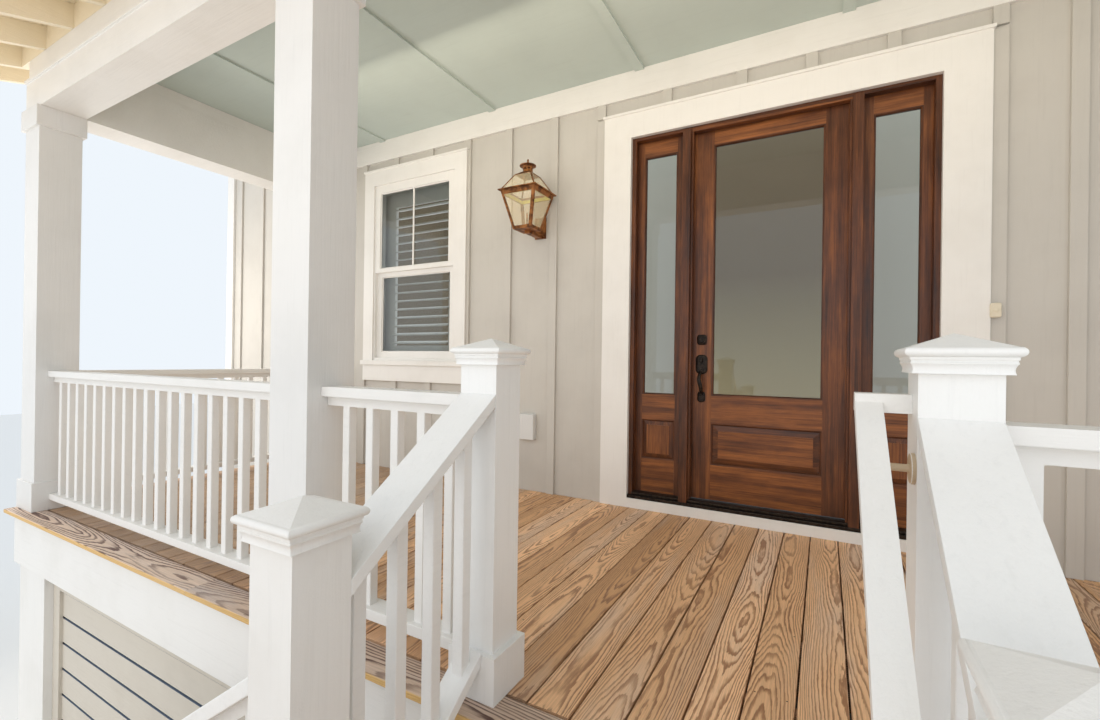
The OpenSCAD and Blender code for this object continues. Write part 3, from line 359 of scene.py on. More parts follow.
# Painted boards: a soft brushed grain along one axis, faint dirt and uneven gloss.
# A ledge shade is painted shade: a dark blue-grey put on the faces that look up, so the gaps
# between the skirt boards read dark
paints = {
    "trim": {"colour": (0.83, 0.815, 0.785), "shade": (0.72, 0.70, 0.66), "roughness": 0.46,
             "relief": 0.0012, "mottle": 0.35},
    # The rail paint is the trim paint made lighter and cooler for the upper newels and stair
    # guards: painted light
    "rail": {"colour": (0.85, 0.845, 0.825), "shade": (0.75, 0.74, 0.715), "roughness": 0.46,
             "relief": 0.0012, "mottle": 0.35},
    # The post paint is the trim paint made darker for the columns: painted shade
    "post": {"colour": (0.775, 0.765, 0.745), "shade": (0.68, 0.67, 0.645), "roughness": 0.46,
             "relief": 0.0012, "mottle": 0.35},
    "siding": {"colour": (0.575, 0.55, 0.505), "shade": (0.51, 0.485, 0.445), "roughness": 0.62,
               "relief": 0.0008, "mottle": 0.45},
    "ceiling": {"colour": (0.54, 0.615, 0.575), "shade": (0.495, 0.56, 0.525), "roughness": 0.6,
                "relief": 0.0008, "mottle": 0.4},
    # The skirt's ledge is painted shade on the tops of its boards
    "skirt": {"colour": (0.62, 0.57, 0.49), "shade": (0.54, 0.49, 0.42), "roughness": 0.6,
              "relief": 0.0012, "mottle": 0.4, "ledgeShade": (0.14, 0.18, 0.25)},
    # The eaves paint is the trim paint with a warm cream cast for the rafters, blocking and roof
    # boards: painted warm bounced light
    "eaves": {"colour": (0.88, 0.785, 0.61), "shade": (0.78, 0.69, 0.52), "roughness": 0.5,
              "relief": 0.002, "mottle": 0.4},
    "cover": {"colour": (0.74, 0.67, 0.53), "shade": (0.62, 0.55, 0.42), "roughness": 0.45,
              "relief": 0.0002, "mottle": 0.3},
    "tan": {"colour": (0.55, 0.43, 0.29), "shade": (0.36, 0.26, 0.17), "roughness": 0.4,
            "relief": 0.0002, "mottle": 0.8},
    "pale": {"colour": (0.70, 0.70, 0.69), "shade": (0.60, 0.60, 0.59), "roughness": 0.45,
             "relief": 0.0002, "mottle": 0.3},
}
grainScales = {"x": (3.0, 70.0, 70.0), "y": (70.0, 3.0, 70.0), "z": (70.0, 70.0, 3.0)}
# What all paints share: sizes of the specks and clouds, how dark the brush lines get, how far
# the gloss strays, and how much of the relief is specks
brushwork = {"speckScale": 260.0, "cloudScale": 2.6, "stainRange": (0.42, 0.72),
             "lineRange": (0.30, 0.46), "lineShade": 0.965, "gloss": (-0.06, 0.08),
             "speckShare": 0.25}


def makePaint(name, v, axis):
    material, tree, shader = newMaterial(name)
    shared = brushwork
    place = objectPlace(tree)
    fibre = noise(tree, stretched(tree, place, grainScales[axis]), 1.0, 5.0, 0.65)
    speck = noise(tree, place, shared["speckScale"], 2.0)
    cloud = noise(tree, place, shared["cloudScale"], 4.0, 0.6)
    stain = remap(tree, cloud, *shared["stainRange"], 0.0, v["mottle"], True)
    colour = mixColour(tree, stain, rgb(v["colour"]), rgb(v["shade"]))
    lines = remap(tree, fibre, *shared["lineRange"], shared["lineShade"], 1.0)
    colour = mixColour(tree, 1.0, colour, lines, "MULTIPLY")
    # Painted shade: the faces that look up take the dark blue-grey ledge shade
    if "ledgeShade" in v:
        colour = mixColour(tree, facing(tree, 2), colour, rgb(v["ledgeShade"]))
    tree.links.new(colour, shader.inputs["Base Color"])
    tree.links.new(unevenGloss(tree, cloud, v["roughness"], shared["gloss"]),
                   shader.inputs["Roughness"])
    bump(tree, shader, addShare(tree, fibre, speck, shared["speckShare"]), v["relief"])
    return material


# Weathered pine: growth rings of a wandering log, cut flat by the board's face. The floor turns
# darker and greyer towards its far end, and the front face of the border is painted a bright gold:
# painted light
pineLooks = {
    "deck": {"light": (0.89, 0.565, 0.33), "warm": (0.78, 0.455, 0.235),
             "line": (0.29, 0.125, 0.058), "worn": (0.74, 0.58, 0.46), "ring": 0.0044,
             "contrast": 0.82, "grey": 0.6, "far": (0.36, 0.275, 0.205),
             "farRange": (-1.5, -2.5), "farShare": 0.6},
    "border": {"light": (0.66, 0.51, 0.40), "warm": (0.58, 0.42, 0.31),
               "line": (0.115, 0.055, 0.040), "worn": (0.62, 0.54, 0.50), "ring": 0.0068,
               "contrast": 1.0, "grey": 0.75, "front": (0.76, 0.47, 0.14),
             "frontShare": 0.8},
}


# What both pines share: how each pattern is stretched along and across the log, and how far it
# moves the rings or changes their colour
pineGrain = {"seedSpan": 90.0, "sideways": (0.42, 3.0, 0.16), "inDepth": (0.5, 11.0, 0.17),
             "swell": (0.9, 10.0, 10.0), "swellShare": 0.022, "waver": (11.0, 75.0, 75.0),
             "waverShare": 0.0050, "season": 0.45, "seasonShare": 0.9,
             "lateStart": (0.38, 0.82), "lateEnd": (0.88, 1.0), "patch": (1.7, 8.0, 8.0),
             "patchRange": (0.36, 0.58), "faintest": 0.5, "fibre": (7.0, 420.0, 420.0),
             "fibreShade": (0.82, 1.12), "bleach": (0.8, 5.0, 5.0), "bleachRange": (0.45, 0.68),
             "toneShade": (1.14, 0.84), "roughness": (0.68, 0.5), "relief": 0.0012,
             "reliefStrength": 0.8, "fibreRelief": 0.5}


def makePine(name, v, sawn=True):
    material, tree, shader = newMaterial(name)
    grain = pineGrain
    place = boardGrain(tree) if sawn else objectPlace(tree)
    tone = boardTone(tree)
    parts = axisParts(tree, place)
    seed = calc(tree, "MULTIPLY", tone, grain["seedSpan"])

    # The pith drifts sideways and in depth, so the rings open into long pointed arches
    def drift(lengthScale, shift, amount):
        spot = addNode(tree, "ShaderNodeCombineXYZ",
                       {0: calc(tree, "MULTIPLY", parts[0], lengthScale), 1: seed,
                        2: shift}).outputs[0]
        wave = calc(tree, "SUBTRACT", noise(tree, spot, 1.0, 2.0), 0.5)
        return calc(tree, "MULTIPLY", wave, amount)

    across = calc(tree, "ADD", parts[1], drift(*grain["sideways"]))
    through = calc(tree, "ADD", parts[2], drift(*grain["inDepth"]))
    square = calc(tree, "MULTIPLY", across, across)
    radius = calc(tree, "SQRT", addShare(tree, square, through, through))
    swell = noise(tree, stretched(tree, place, grain["swell"]), 1.0, 2.0, 0.5)
    waver = noise(tree, stretched(tree, place, grain["waver"]), 1.0, 3.0, 0.6)
    radius = addShare(tree, radius, swell, grain["swellShare"])
    radius = addShare(tree, radius, waver, grain["waverShare"])
    turns = calc(tree, "DIVIDE", radius, v["ring"])
    season = addNode(tree, "ShaderNodeCombineXYZ",
                     {0: calc(tree, "MULTIPLY", turns, grain["season"]), 1: seed}).outputs[0]
    turns = addShare(tree, turns, noise(tree, season, 1.0, 1.0), grain["seasonShare"])
    ring = calc(tree, "FRACT", turns)
    rise = remap(tree, ring, *grain["lateStart"], 0.0, 1.0, True)
    fall = remap(tree, ring, *grain["lateEnd"], 1.0, 0.0, True)
    late = calc(tree, "MULTIPLY", rise, fall)
    patch = noise(tree, stretched(tree, place, grain["patch"]), 1.0, 3.0, 0.6)
    strength = remap(tree, patch, *grain["patchRange"], grain["faintest"], v["contrast"], True)
    fibre = noise(tree, stretched(tree, place, grain["fibre"]), 1.0, 3.0, 0.6)
    ground = mixColour(tree, remap(tree, tone, 0.3, 0.7), rgb(v["light"]), rgb(v["warm"]))
    bleach = noise(tree, stretched(tree, place, grain["bleach"]), 1.0, 4.0, 0.6)
    bleach = remap(tree, bleach, *grain["bleachRange"], 0.0, v["grey"], True)
    ground = mixColour(tree, bleach, ground, rgb(v["worn"]))
    colour = mixColour(tree, calc(tree, "MULTIPLY", late, strength), ground, rgb(v["line"]))
    fibreShade = remap(tree, fibre, 0.3, 0.7, *grain["fibreShade"])
    colour = mixColour(tree, 1.0, colour, fibreShade, "MULTIPLY")
    toneShade = remap(tree, tone, 0.25, 0.75, *grain["toneShade"])
    colour = mixColour(tree, 1.0, colour, toneShade, "MULTIPLY")
    # The floor turns darker and greyer towards its far end
    if "far" in v and sawn:
        spot = axisParts(tree, objectPlace(tree))[0]
        farBlend = remap(tree, spot, *v["farRange"], 0.0, v["farShare"], True)
        colour = mixColour(tree, farBlend, colour, rgb(v["far"]))
    # Painted light: the faces that look to the front take a bright gold
    if "front" in v:
        litFront = calc(tree, "MULTIPLY", facing(tree, 1, -1), v["frontShare"])
        colour = mixColour(tree, litFront, colour, rgb(v["front"]))
    tree.links.new(colour, shader.inputs["Base Color"])
    tree.links.new(remap(tree, late, 0.0, 1.0, *grain["roughness"]), shader.inputs["Roughness"])
    bump(tree, shader, addShare(tree, late, fibre, grain["fibreRelief"]), grain["relief"],
         grain["reliefStrength"])
    return material


# Stained mahogany under satin varnish: ribbons, pores and darker grooves. Each pattern has its
# stretch along and across the log and its share in the colour
mahoganyLook = {"dark": (0.026, 0.0085, 0.004), "middle": (0.122, 0.037, 0.0105),
                "bright": (0.350, 0.118, 0.026), "middleAt": 0.45, "mixRange": (0.34, 0.68),
                "ribbon": (1.1, 26.0, 26.0), "ribbonShare": 0.42, "figure": (3.5, 11.0, 11.0),
                "figureShare": 0.26, "streak": (4.0, 170.0, 170.0), "streakShare": 0.32,
                "toneShare": 0.22, "pores": (22.0, 900.0, 900.0), "poreRange": (0.30, 0.45),
                "poreShade": 0.62, "roughness": 0.38, "gloss": (-0.06, 0.1), "varnish": 0.15,
                "varnishRoughness": 0.25, "relief": 0.0003, "reliefStrength": 0.6}


def makeMahogany(name, v):
    material, tree, shader = newMaterial(name)
    place = boardGrain(tree)
    tone = boardTone(tree)
    ribbon = noise(tree, stretched(tree, place, v["ribbon"]), 1.0, 4.0, 0.55)
    figure = noise(tree, stretched(tree, place, v["figure"]), 1.0, 3.0, 0.6)
    streak = noise(tree, stretched(tree, place, v["streak"]), 1.0, 4.0, 0.65)
    pores = noise(tree, stretched(tree, place, v["pores"]), 1.0, 2.0, 0.6)
    mix = calc(tree, "MULTIPLY", ribbon, v["ribbonShare"])
    mix = addShare(tree, mix, figure, v["figureShare"])
    mix = addShare(tree, mix, streak, v["streakShare"])
    mix = addShare(tree, mix, calc(tree, "SUBTRACT", tone, 0.5), v["toneShare"])
    colour = ramp(tree, remap(tree, mix, *v["mixRange"]),
                  ((0.0, v["dark"]), (v["middleAt"], v["middle"]), (1.0, v["bright"])))
    poreShade = remap(tree, pores, *v["poreRange"], v["poreShade"], 1.0)
    colour = mixColour(tree, 1.0, colour, poreShade, "MULTIPLY")
    tree.links.new(colour, shader.inputs["Base Color"])
    tree.links.new(unevenGloss(tree, figure, v["roughness"], v["gloss"]),
                   shader.inputs["Roughness"])
    shader.inputs["Coat Weight"].default_value = v["varnish"]
    shader.inputs["Coat Roughness"].default_value = v["varnishRoughness"]
    bump(tree, shader, calc(tree, "ADD", pores, streak), v["relief"], v["reliefStrength"])
    return material


# Metals: two colours in patches and uneven gloss
metals = {
    "bronze": {"colour": (0.020, 0.016, 0.014), "worn": (0.055, 0.040, 0.030),
               "roughness": 0.38, "metal": 0.75, "scale": 60.0},
    "copper": {"colour": (0.42, 0.165, 0.050), "worn": (0.12, 0.046, 0.018),
               "roughness": 0.42, "metal": 0.7, "scale": 22.0},
    "brass": {"colour": (0.72, 0.66, 0.10), "worn": (0.55, 0.50, 0.09),
              "roughness": 0.5, "metal": 0.0, "scale": 30.0},
    "flashing": {"colour": (0.10, 0.095, 0.09), "worn": (0.16, 0.15, 0.14),
                 "roughness": 0.55, "metal": 0.5, "scale": 12.0},
}
metalWear = {"patinaRange": (0.38, 0.64), "gloss": (-0.08, 0.14), "fineness": 9,
             "relief": 0.0003, "reliefStrength": 0.5}


def makeMetal(name, v):
    material, tree, shader = newMaterial(name)
    wear = metalWear
    place = objectPlace(tree)
    patina = noise(tree, place, v["scale"], 5.0, 0.65)
    fine = noise(tree, place, v["scale"] * wear["fineness"], 2.0)
    worn = remap(tree, patina, *wear["patinaRange"], 0.0, 1.0, True)
    colour = mixColour(tree, worn, rgb(v["colour"]), rgb(v["worn"]))
    tree.links.new(colour, shader.inputs["Base Color"])
    tree.links.new(unevenGloss(tree, patina, v["roughness"], wear["gloss"]),
                   shader.inputs["Roughness"])
    shader.inputs["Metallic"].default_value = v["metal"]
    bump(tree, shader, fine, wear["relief"], wear["reliefStrength"])
    return material


# Grey mineral shingles, each of its own shade
shingleLook = {"colour": (0.090, 0.083, 0.078), "light": (0.20, 0.185, 0.17),
               "mixRange": (0.5, 1.0), "granuleScale": 420.0, "granuleShare": 0.6,
               "cloudScale": 9.0, "cloudShare": 0.3, "toneShare": 0.6, "roughness": 0.92,
               "relief": 0.001}


def makeShingle(name, v):
    material, tree, shader = newMaterial(name)
    place = objectPlace(tree)
    tone = boardTone(tree)
    granules = noise(tree, place, v["granuleScale"], 2.0, 0.7)
    cloud = noise(tree, place, v["cloudScale"], 3.0)
    mix = calc(tree, "MULTIPLY", granules, v["granuleShare"])
    mix = addShare(tree, mix, tone, v["toneShare"])
    mix = addShare(tree, mix, cloud, v["cloudShare"])
    mix = remap(tree, mix, *v["mixRange"])
    colour = mixColour(tree, mix, rgb(v["colour"]), rgb(v["light"]))
    tree.links.new(colour, shader.inputs["Base Color"])
    shader.inputs["Roughness"].default_value = v["roughness"]
    bump(tree, shader, granules, v["relief"])
    return material


# Panes: clear glass with a strong sheen
paneLook = {"tint": (0.86, 0.88, 0.85), "specular": 1.0, "bend": 1.52}


def makeGlass(name, v):
    material, tree, shader = newMaterial(name)
    shader.inputs["Base Color"].default_value = rgb(v["tint"])
    shader.inputs["Transmission Weight"].default_value = 1.0
    shader.inputs["Roughness"].default_value = 0.0
    shader.inputs["IOR"].default_value = v["bend"]
    shader.inputs["Specular IOR Level"].default_value = v["specular"]
    return material


# The lantern's thin panes are mostly see-through, and a fifth of each is a warm cream: painted
# light that stands in for the light shining through and off them
glowPaneLook = {"tint": (1.0, 0.86, 0.58), "specular": 1.0, "roughness": 0.12, "glowCover": 0.20}


def makeGlowPane(name, v):
    material, tree, shader = newMaterial(name)
    shader.inputs["Base Color"].default_value = rgb(v["tint"])
    shader.inputs["Roughness"].default_value = v["roughness"]
    shader.inputs["Specular IOR Level"].default_value = v["specular"]
    # A fifth of each pane is the warm cream: painted light
    shader.inputs["Alpha"].default_value = v["glowCover"]
    return material


trimPaint = {axis: makePaint("trimPaint." + axis, paints["trim"], axis) for axis in "xyz"}
shadedPostPaint = makePaint("shadedPostPaint", paints["post"], "z")
litRailPaint = {axis: makePaint("litRailPaint." + axis, paints["rail"], axis) for axis in "yz"}
sidingPaint = {axis: makePaint("sidingPaint." + axis, paints["siding"], axis) for axis in "xz"}
ceilingPaint = makePaint("ceilingPaint", paints["ceiling"], "x")
skirtPaint = makePaint("skirtPaint", paints["skirt"], "x")
warmLitEavesPaint = makePaint("warmLitEavesPaint", paints["eaves"], "y")
coverPlastic = makePaint("coverPlastic", paints["cover"], "z")
tanPaint = makePaint("tanPaint", paints["tan"], "x")
palePlastic = makePaint("palePlastic", paints["pale"], "z")
deckPine = makePine("deckPine", pineLooks["deck"])
borderPine = makePine("borderPine", pineLooks["border"])
framingPine = makePine("framingPine", pineLooks["deck"], False)
mahogany = makeMahogany("mahogany", mahoganyLook)
metal = {name: makeMetal(name, v) for name, v in metals.items()}
shingle = makeShingle("shingle", shingleLook)
paneGlass = makeGlass("paneGlass", paneLook)
lanternGlass = makeGlowPane("lanternGlass", glowPaneLook)

dressing = {
    "foundation_wall": sidingPaint["x"], "wall_left": sidingPaint["z"],
    "wall_right": sidingPaint["z"], "wall_over_door": sidingPaint["z"],
    "siding_battens": sidingPaint["z"], "skirt_panels": skirtPaint,
    "wall_trim": trimPaint["x"], "door_casing": trimPaint["z"], "window_casings": trimPaint["z"],
    "window_sashes": trimPaint["z"], "window_shutters": trimPaint["x"], "piers": trimPaint["z"],
    "rim_boards": trimPaint["x"], "stair_stringers": trimPaint["x"],
    "stair_risers": trimPaint["x"], "landing_frame": trimPaint["x"], "columns": shadedPostPaint,
    "upper_newels": litRailPaint["z"], "landing_newels": trimPaint["z"],
    "foot_newels": trimPaint["z"], "front_guards": trimPaint["x"], "side_guards": trimPaint["y"],
    "stair_guards": litRailPaint["y"], "handrail": trimPaint["y"], "roof_beams": trimPaint["x"],
    "roof_rafters": warmLitEavesPaint, "rafter_blocking": warmLitEavesPaint,
    "porch_ceiling": ceilingPaint, "wall_fittings": coverPlastic, "deck_beams": framingPine,
    "deck_joists": framingPine, "deck_floor": deckPine, "stair_treads": deckPine,
    "landing_floor": deckPine, "door_frame": mahogany, "sidelights": mahogany,
    "door_slab": mahogany, "door_glass": paneGlass, "sidelight_glass": paneGlass,
    "window_glass": paneGlass, "lantern_glass": lanternGlass, "lantern_frame": metal["copper"],
    "door_hinges": metal["bronze"], "door_handle": metal["bronze"], "roof_deck": shingle,
}
# Width of the eased edges, in metres, on the nodes that stay. Those wider than roundFrom get
# more facets, and edges under the angle stay as they are
easedEdges = {
    "columns": 0.003, "upper_newels": 0.002, "landing_newels": 0.002, "foot_newels": 0.002,
    "front_guards": 0.003, "side_guards": 0.003, "stair_guards": 0.003, "handrail": 0.011,
    "door_casing": 0.002, "window_casings": 0.002, "window_sashes": 0.0015,
    "siding_battens": 0.002, "wall_trim": 0.002, "rim_boards": 0.003, "roof_beams": 0.002,
    "piers": 0.003, "skirt_panels": 0.002, "landing_frame": 0.003, "stair_risers": 0.002,
    "stair_stringers": 0.002, "roof_rafters": 0.002, "rafter_blocking": 0.002,
    "lantern_frame": 0.001, "window_shutters": 0.0015,
}
edgeSettings = {"weld": 0.00002, "angle": 40, "facets": 2, "roundFacets": 4, "roundFrom": 0.005}


def dressNodes(v):
    for name, piece in nodes.items():
        piece.data.materials.clear()
        piece.data.materials.append(dressing[name])
    for name, width in easedEdges.items():
        weld = nodes[name].modifiers.new("weld", "WELD")
        weld.merge_threshold = v["weld"]
        ease = nodes[name].modifiers.new("ease", "BEVEL")
        ease.width = width
        ease.segments = v["roundFacets"] if width > v["roundFrom"] else v["facets"]
        ease.limit_method = "ANGLE"
        ease.angle_limit = math.radians(v["angle"])
        ease.use_clamp_overlap = True


dressNodes(edgeSettings)
print("nodes dressed")


# Porch floor: boards run out from the wall to a border board along the front edge
deckLook = {"pitch": 0.140, "joint": 0.1295, "gap": (0.004, 0.0075), "wallGap": 0.002,
            "edge": 0.0035, "lift": 0.0006, "border": 0.137, "borderGap": 0.003,
            "borderEdge": 0.0055, "borderJoints": (-2.07, 0.66, 2.84), "jointGap": 0.0008,
            "screw": 0.0028, "screwInset": 0.022, "screwSink": 0.0015, "screwRise": 0.0002}


def makeDeck(v):
    low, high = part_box("deck_floor")
    thick = high[2] - low[2]
    rng = random.Random(11)
    solid = newSolid()
    borderBack = low[1] + v["border"]
    x = v["joint"] - math.ceil((v["joint"] - low[0]) / v["pitch"]) * v["pitch"]
    spans = []
    while x < high[0]:
        gap = rng.uniform(*v["gap"]) / 2
        left = max(x + gap, low[0])
        right = min(x + v["pitch"] - gap, high[0])
        spans.append((left, right))
        x += v["pitch"]
    for left, right in spans:
        width = right - left
        drop = rng.uniform(0, v["lift"])
        profile = easedProfile(0, width, 0, thick - drop, v["edge"])
        start = (left, borderBack + rng.uniform(*v["gap"]), low[2])
        length = high[1] - start[1] - v["wallGap"]
        addStick(solid, (alongY, alongX, alongZ), start, length, profile,
                 pickLog(rng, width / 2))
    makePiece(solid, "deckBoards", deckPine, "house", ("deck_floor",))
    makeScrews(spans, high[2], v)

    border = newSolid()
    ends = [low[0], *v["borderJoints"], high[0]]
    for first, second in zip(ends, ends[1:]):
        profile = easedProfile(0, v["border"] - v["borderGap"], 0, thick, v["borderEdge"], 3)
        addStick(border, (alongX, alongY, alongZ), (first + v["jointGap"], low[1], low[2]),
                 second - first - 2 * v["jointGap"], profile, pickLog(rng, v["border"] / 2))
    makePiece(border, "deckBorder", borderPine, "house")


# Two screw heads in each board over every joist
def makeScrews(spans, top, v):
    solid = newSolid()
    rings = ((v["screw"], -v["screwSink"]), (v["screw"], v["screwRise"]))
    for low, high in islandBoxes("deck_joists"):
        y = (low.y + high.y) / 2
        for left, right in spans:
            for x in (left + v["screwInset"], right - v["screwInset"]):
                addTurned(solid, (x, y, top - v["lift"]), alongZ, rings, 8)
    makePiece(solid, "deckScrews", metal["bronze"], "house")


makeDeck(deckLook)


# Treads of two boards each, and the landing's boards, all with rounded front edges
treadLook = {"gap": 0.005, "edge": 0.006, "boards": 2, "landingPitch": 0.1404}


def makeTreads(v):
    rng = random.Random(23)
    solid = newSolid()
    for low, high in islandBoxes("stair_treads"):
        size = high - low
        lengthways, depthways = (alongX, alongY) if size.x > size.y else (alongY, alongX)
        length = max(size.x, size.y)
        depth = min(size.x, size.y)
        each = (depth - v["gap"] * (v["boards"] - 1)) / v["boards"]
        for k in range(v["boards"]):
            start = low + depthways * (k * (each + v["gap"]))
            profile = easedProfile(0, each, 0, size.z, v["edge"], 3)
            addStick(solid, (lengthways, depthways, alongZ), start, length, profile,
                     pickLog(rng, each / 2))
    makePiece(solid, "treadBoards", deckPine, "house", ("stair_treads",))

    low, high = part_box("landing_floor")
    solid = newSolid()
    count = round((high[1] - low[1]) / v["landingPitch"])
    pitch = (high[1] - low[1] + v["gap"]) / count
    for k in range(count):
        profile = easedProfile(0, pitch - v["gap"], 0, high[2] - low[2], v["edge"], 3)
        addStick(solid, (alongX, alongY, alongZ), (low[0], low[1] + k * pitch, low[2]),
                 high[0] - low[0], profile, pickLog(rng, pitch / 2))
    makePiece(solid, "landingBoards", deckPine, "house", ("landing_floor",))


makeTreads(treadLook)


# Door and sidelights: stiles and rails with moulded edges round the glass and the raised panel.
# The panel's bottom and top are heights over the porch floor, and its field is a plate on the
# bevelled panel, a fieldEase thinner at its very edge
leafLook = {"bead": 0.012, "ease": 0.0009, "glassLap": 0.008, "panelLap": 0.002,
            "panelHeights": (0.352, 0.600), "bevel": 0.036, "sideBevel": 0.026,
            "bevelTop": 0.004, "sink": 0.011, "field": 0.0005, "fieldEase": 0.001,
            "stileTone": (0.36, 0.50), "railTone": (0.70, 0.86), "panelTone": (0.78, 0.84),
            "beadTone": 0.18, "bevelTone": 0.36}
beadProfile = ((0.0, -0.0005), (0.0035, -0.0010), (0.0075, -0.0040), (0.0105, -0.0095),
               (0.012, -0.0165), (0.012, -0.0195), (0.0, -0.0195))


def addBeadRing(solid, rect, face, outward, log):
    x0, x1, z0, z1 = rect
    up = alongY * outward
    for (x, z), along, across, length in frameSides((x0, z0), (x1, z1), alongX, alongZ):
        addStick(solid, (along, across, up), (x, face, z), length, beadProfile, log, mitred)


def addLeaf(solid, rng, leaf, pane, panel, faces, v, upright):
    x0, x1, z0, z1 = leaf
    front, back = faces
    bead = v["bead"]
    openLeft, openRight = pane[0] - bead, pane[1] + bead

    for left, right in ((x0, openLeft), (openRight, x1)):
        profile = easedProfile(0, right - left, front, back, v["ease"])
        addStick(solid, (alongZ, alongX, alongY), (left, 0, z0), z1 - z0, profile,
                 pickDoorLog(rng, (right - left) / 2, v["stileTone"]))
    for low, high in ((z0, panel[2] - bead), (panel[3] + bead, pane[2] - bead),
                      (pane[3] + bead, z1)):
        profile = easedProfile(0, high - low, front, back, v["ease"])
        addStick(solid, (alongX, alongZ, alongY), (openLeft, 0, low), openRight - openLeft,
                 profile, pickDoorLog(rng, (high - low) / 2, v["railTone"]))
    groove = {"shift": 3.0, "v": 0.0, "w": -0.1, "tone": v["beadTone"]}
    for low, high in ((panel[2], panel[3]), (pane[2], pane[3])):
        rect = (openLeft, openRight, low - bead, high + bead)
        addBeadRing(solid, rect, front, -1, groove)
        addBeadRing(solid, rect, back, 1, groove)
    rect = inset(panel, -v["panelLap"])
    bevel, top, sink = v["bevel"], v["bevelTop"], v["sink"]
    rim = dict(pickDoorLog(rng, 0.0, v["stileTone"]), tone=v["bevelTone"])
    addTiers(solid, rect, ((bevel, back - top), (0.0, back - sink), (0.0, front + sink),
                           (bevel, front + top)), rim, upright)
    field, ease = v["field"], v["fieldEase"]
    addTiers(solid, inset(rect, bevel), ((ease, back - field), (0.0, back - field - ease),
                                         (0.0, front + field + ease), (ease, front + field)),
             pickDoorLog(rng, 0.0, v["panelTone"]), upright)


def makeDoorLeaves(v):
    rng = random.Random(37)
    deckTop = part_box("deck_floor")[1][2]
    panelZ = [deckTop + height for height in v["panelHeights"]]
    lap = v["glassLap"]
    low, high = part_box("door_slab")
    glassLow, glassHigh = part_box("door_glass")
    solid = newSolid()
    pane = inset((glassLow[0], glassHigh[0], glassLow[2], glassHigh[2]), lap)
    addLeaf(solid, rng, (low[0], high[0], low[2], high[2]), pane,
            (pane[0], pane[1], *panelZ), (low[1], high[1]), v, False)
    makePiece(solid, "doorLeaf", mahogany, "door", ("door_slab",))

    solid = newSolid()
    panes = islandBoxes("sidelight_glass")
    for (low, high), (glassLow, glassHigh) in zip(islandBoxes("sidelights"), panes):
        pane = inset((glassLow.x, glassHigh.x, glassLow.z, glassHigh.z), lap)
        addLeaf(solid, rng, (low.x, high.x, low.z, high.z), pane, (pane[0], pane[1], *panelZ),
                (low.y, high.y), dict(v, bevel=v["sideBevel"]), True)
    makePiece(solid, "sidelightLeaves", mahogany, "house", ("sidelights",))


makeDoorLeaves(leafLook)


# Door frame: jambs, posts, head and stops of mahogany on a dark two-step sill
frameLook = {"stopDepth": 0.050, "stop": 0.013, "sillLow": 0.066, "sillStep": 0.088,
             "sillOut": 0.004, "sillBack": 0.012, "sillEase": 0.003, "ease": 0.0015,
             "lap": 0.009, "doorGap": 0.005, "jambTone": (0.18, 0.36),
             "stopTone": (0.2, 0.35), "headTone": (0.16, 0.3), "footTone": (0.1, 0.2)}


def makeDoorFrame(v):
    rng = random.Random(41)
    low, high = (Vector(corner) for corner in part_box("door_frame"))
    leaves = islandBoxes("sidelights")
    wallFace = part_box("wall_left")[0][1]
    base = low.z
    sillTop = leaves[0][0].z
    headLow = leaves[0][1].z
    outer = high.x
    jamb = leaves[-1][1].x
    postOut = leaves[-1][0].x
    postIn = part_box("door_slab")[1][0] + v["doorGap"]
    stopIn = postIn - v["stop"]
    stopTop = headLow - v["stop"]
    stopBack = wallFace + v["stopDepth"]
    solid = newSolid()

    def upright(x0, x1, y0, y1, z0, z1, tone):
        profile = easedProfile(0, x1 - x0, y0, y1, v["ease"])
        addStick(solid, (alongZ, alongX, alongY), (x0, 0, z0), z1 - z0, profile,
                 pickDoorLog(rng, (x1 - x0) / 2, tone))

    def level(x0, x1, y0, y1, z0, z1, tone):
        profile = easedProfile(0, z1 - z0, y0, y1, v["ease"])
        addStick(solid, (alongX, alongZ, alongY), (x0, 0, z0), x1 - x0, profile,
                 pickDoorLog(rng, (z1 - z0) / 2, tone))

    for side in (-1, 1):
        upright(*sorted((side * jamb, side * outer)), wallFace, high.y, base, high.z,
                v["jambTone"])
        upright(*sorted((side * postIn, side * postOut)), low.y, high.y, base + v["sillStep"],
                headLow, v["jambTone"])
        upright(*sorted((side * stopIn, side * postIn)), wallFace, stopBack, sillTop, stopTop,
                v["stopTone"])
    level(-jamb, jamb, wallFace, high.y, headLow, high.z, v["headTone"])
    level(-postIn, postIn, wallFace, stopBack, stopTop, headLow, v["stopTone"])
    level(-jamb, jamb, wallFace, high.y, base, base + v["sillLow"], v["footTone"])
    makePiece(solid, "doorFrame", mahogany, "house", ("door_frame",))

    solid = newSolid()
    reach = outer - v["lap"]
    steps = ((reach, low.y - v["sillOut"], base + v["sillLow"], base + v["sillStep"]),
             (jamb, low.y + v["sillBack"], base + v["sillStep"], sillTop))
    for end, y, z0, z1 in steps:
        profile = easedProfile(0, z1 - z0, y, high.y, v["sillEase"], 3)
        addStick(solid, (alongX, alongZ, alongY), (-end, 0, z0), 2 * end, profile, pickLog(rng))
    makePiece(solid, "doorSill", metal["bronze"], "house", smooth=40)


makeDoorFrame(frameLook)


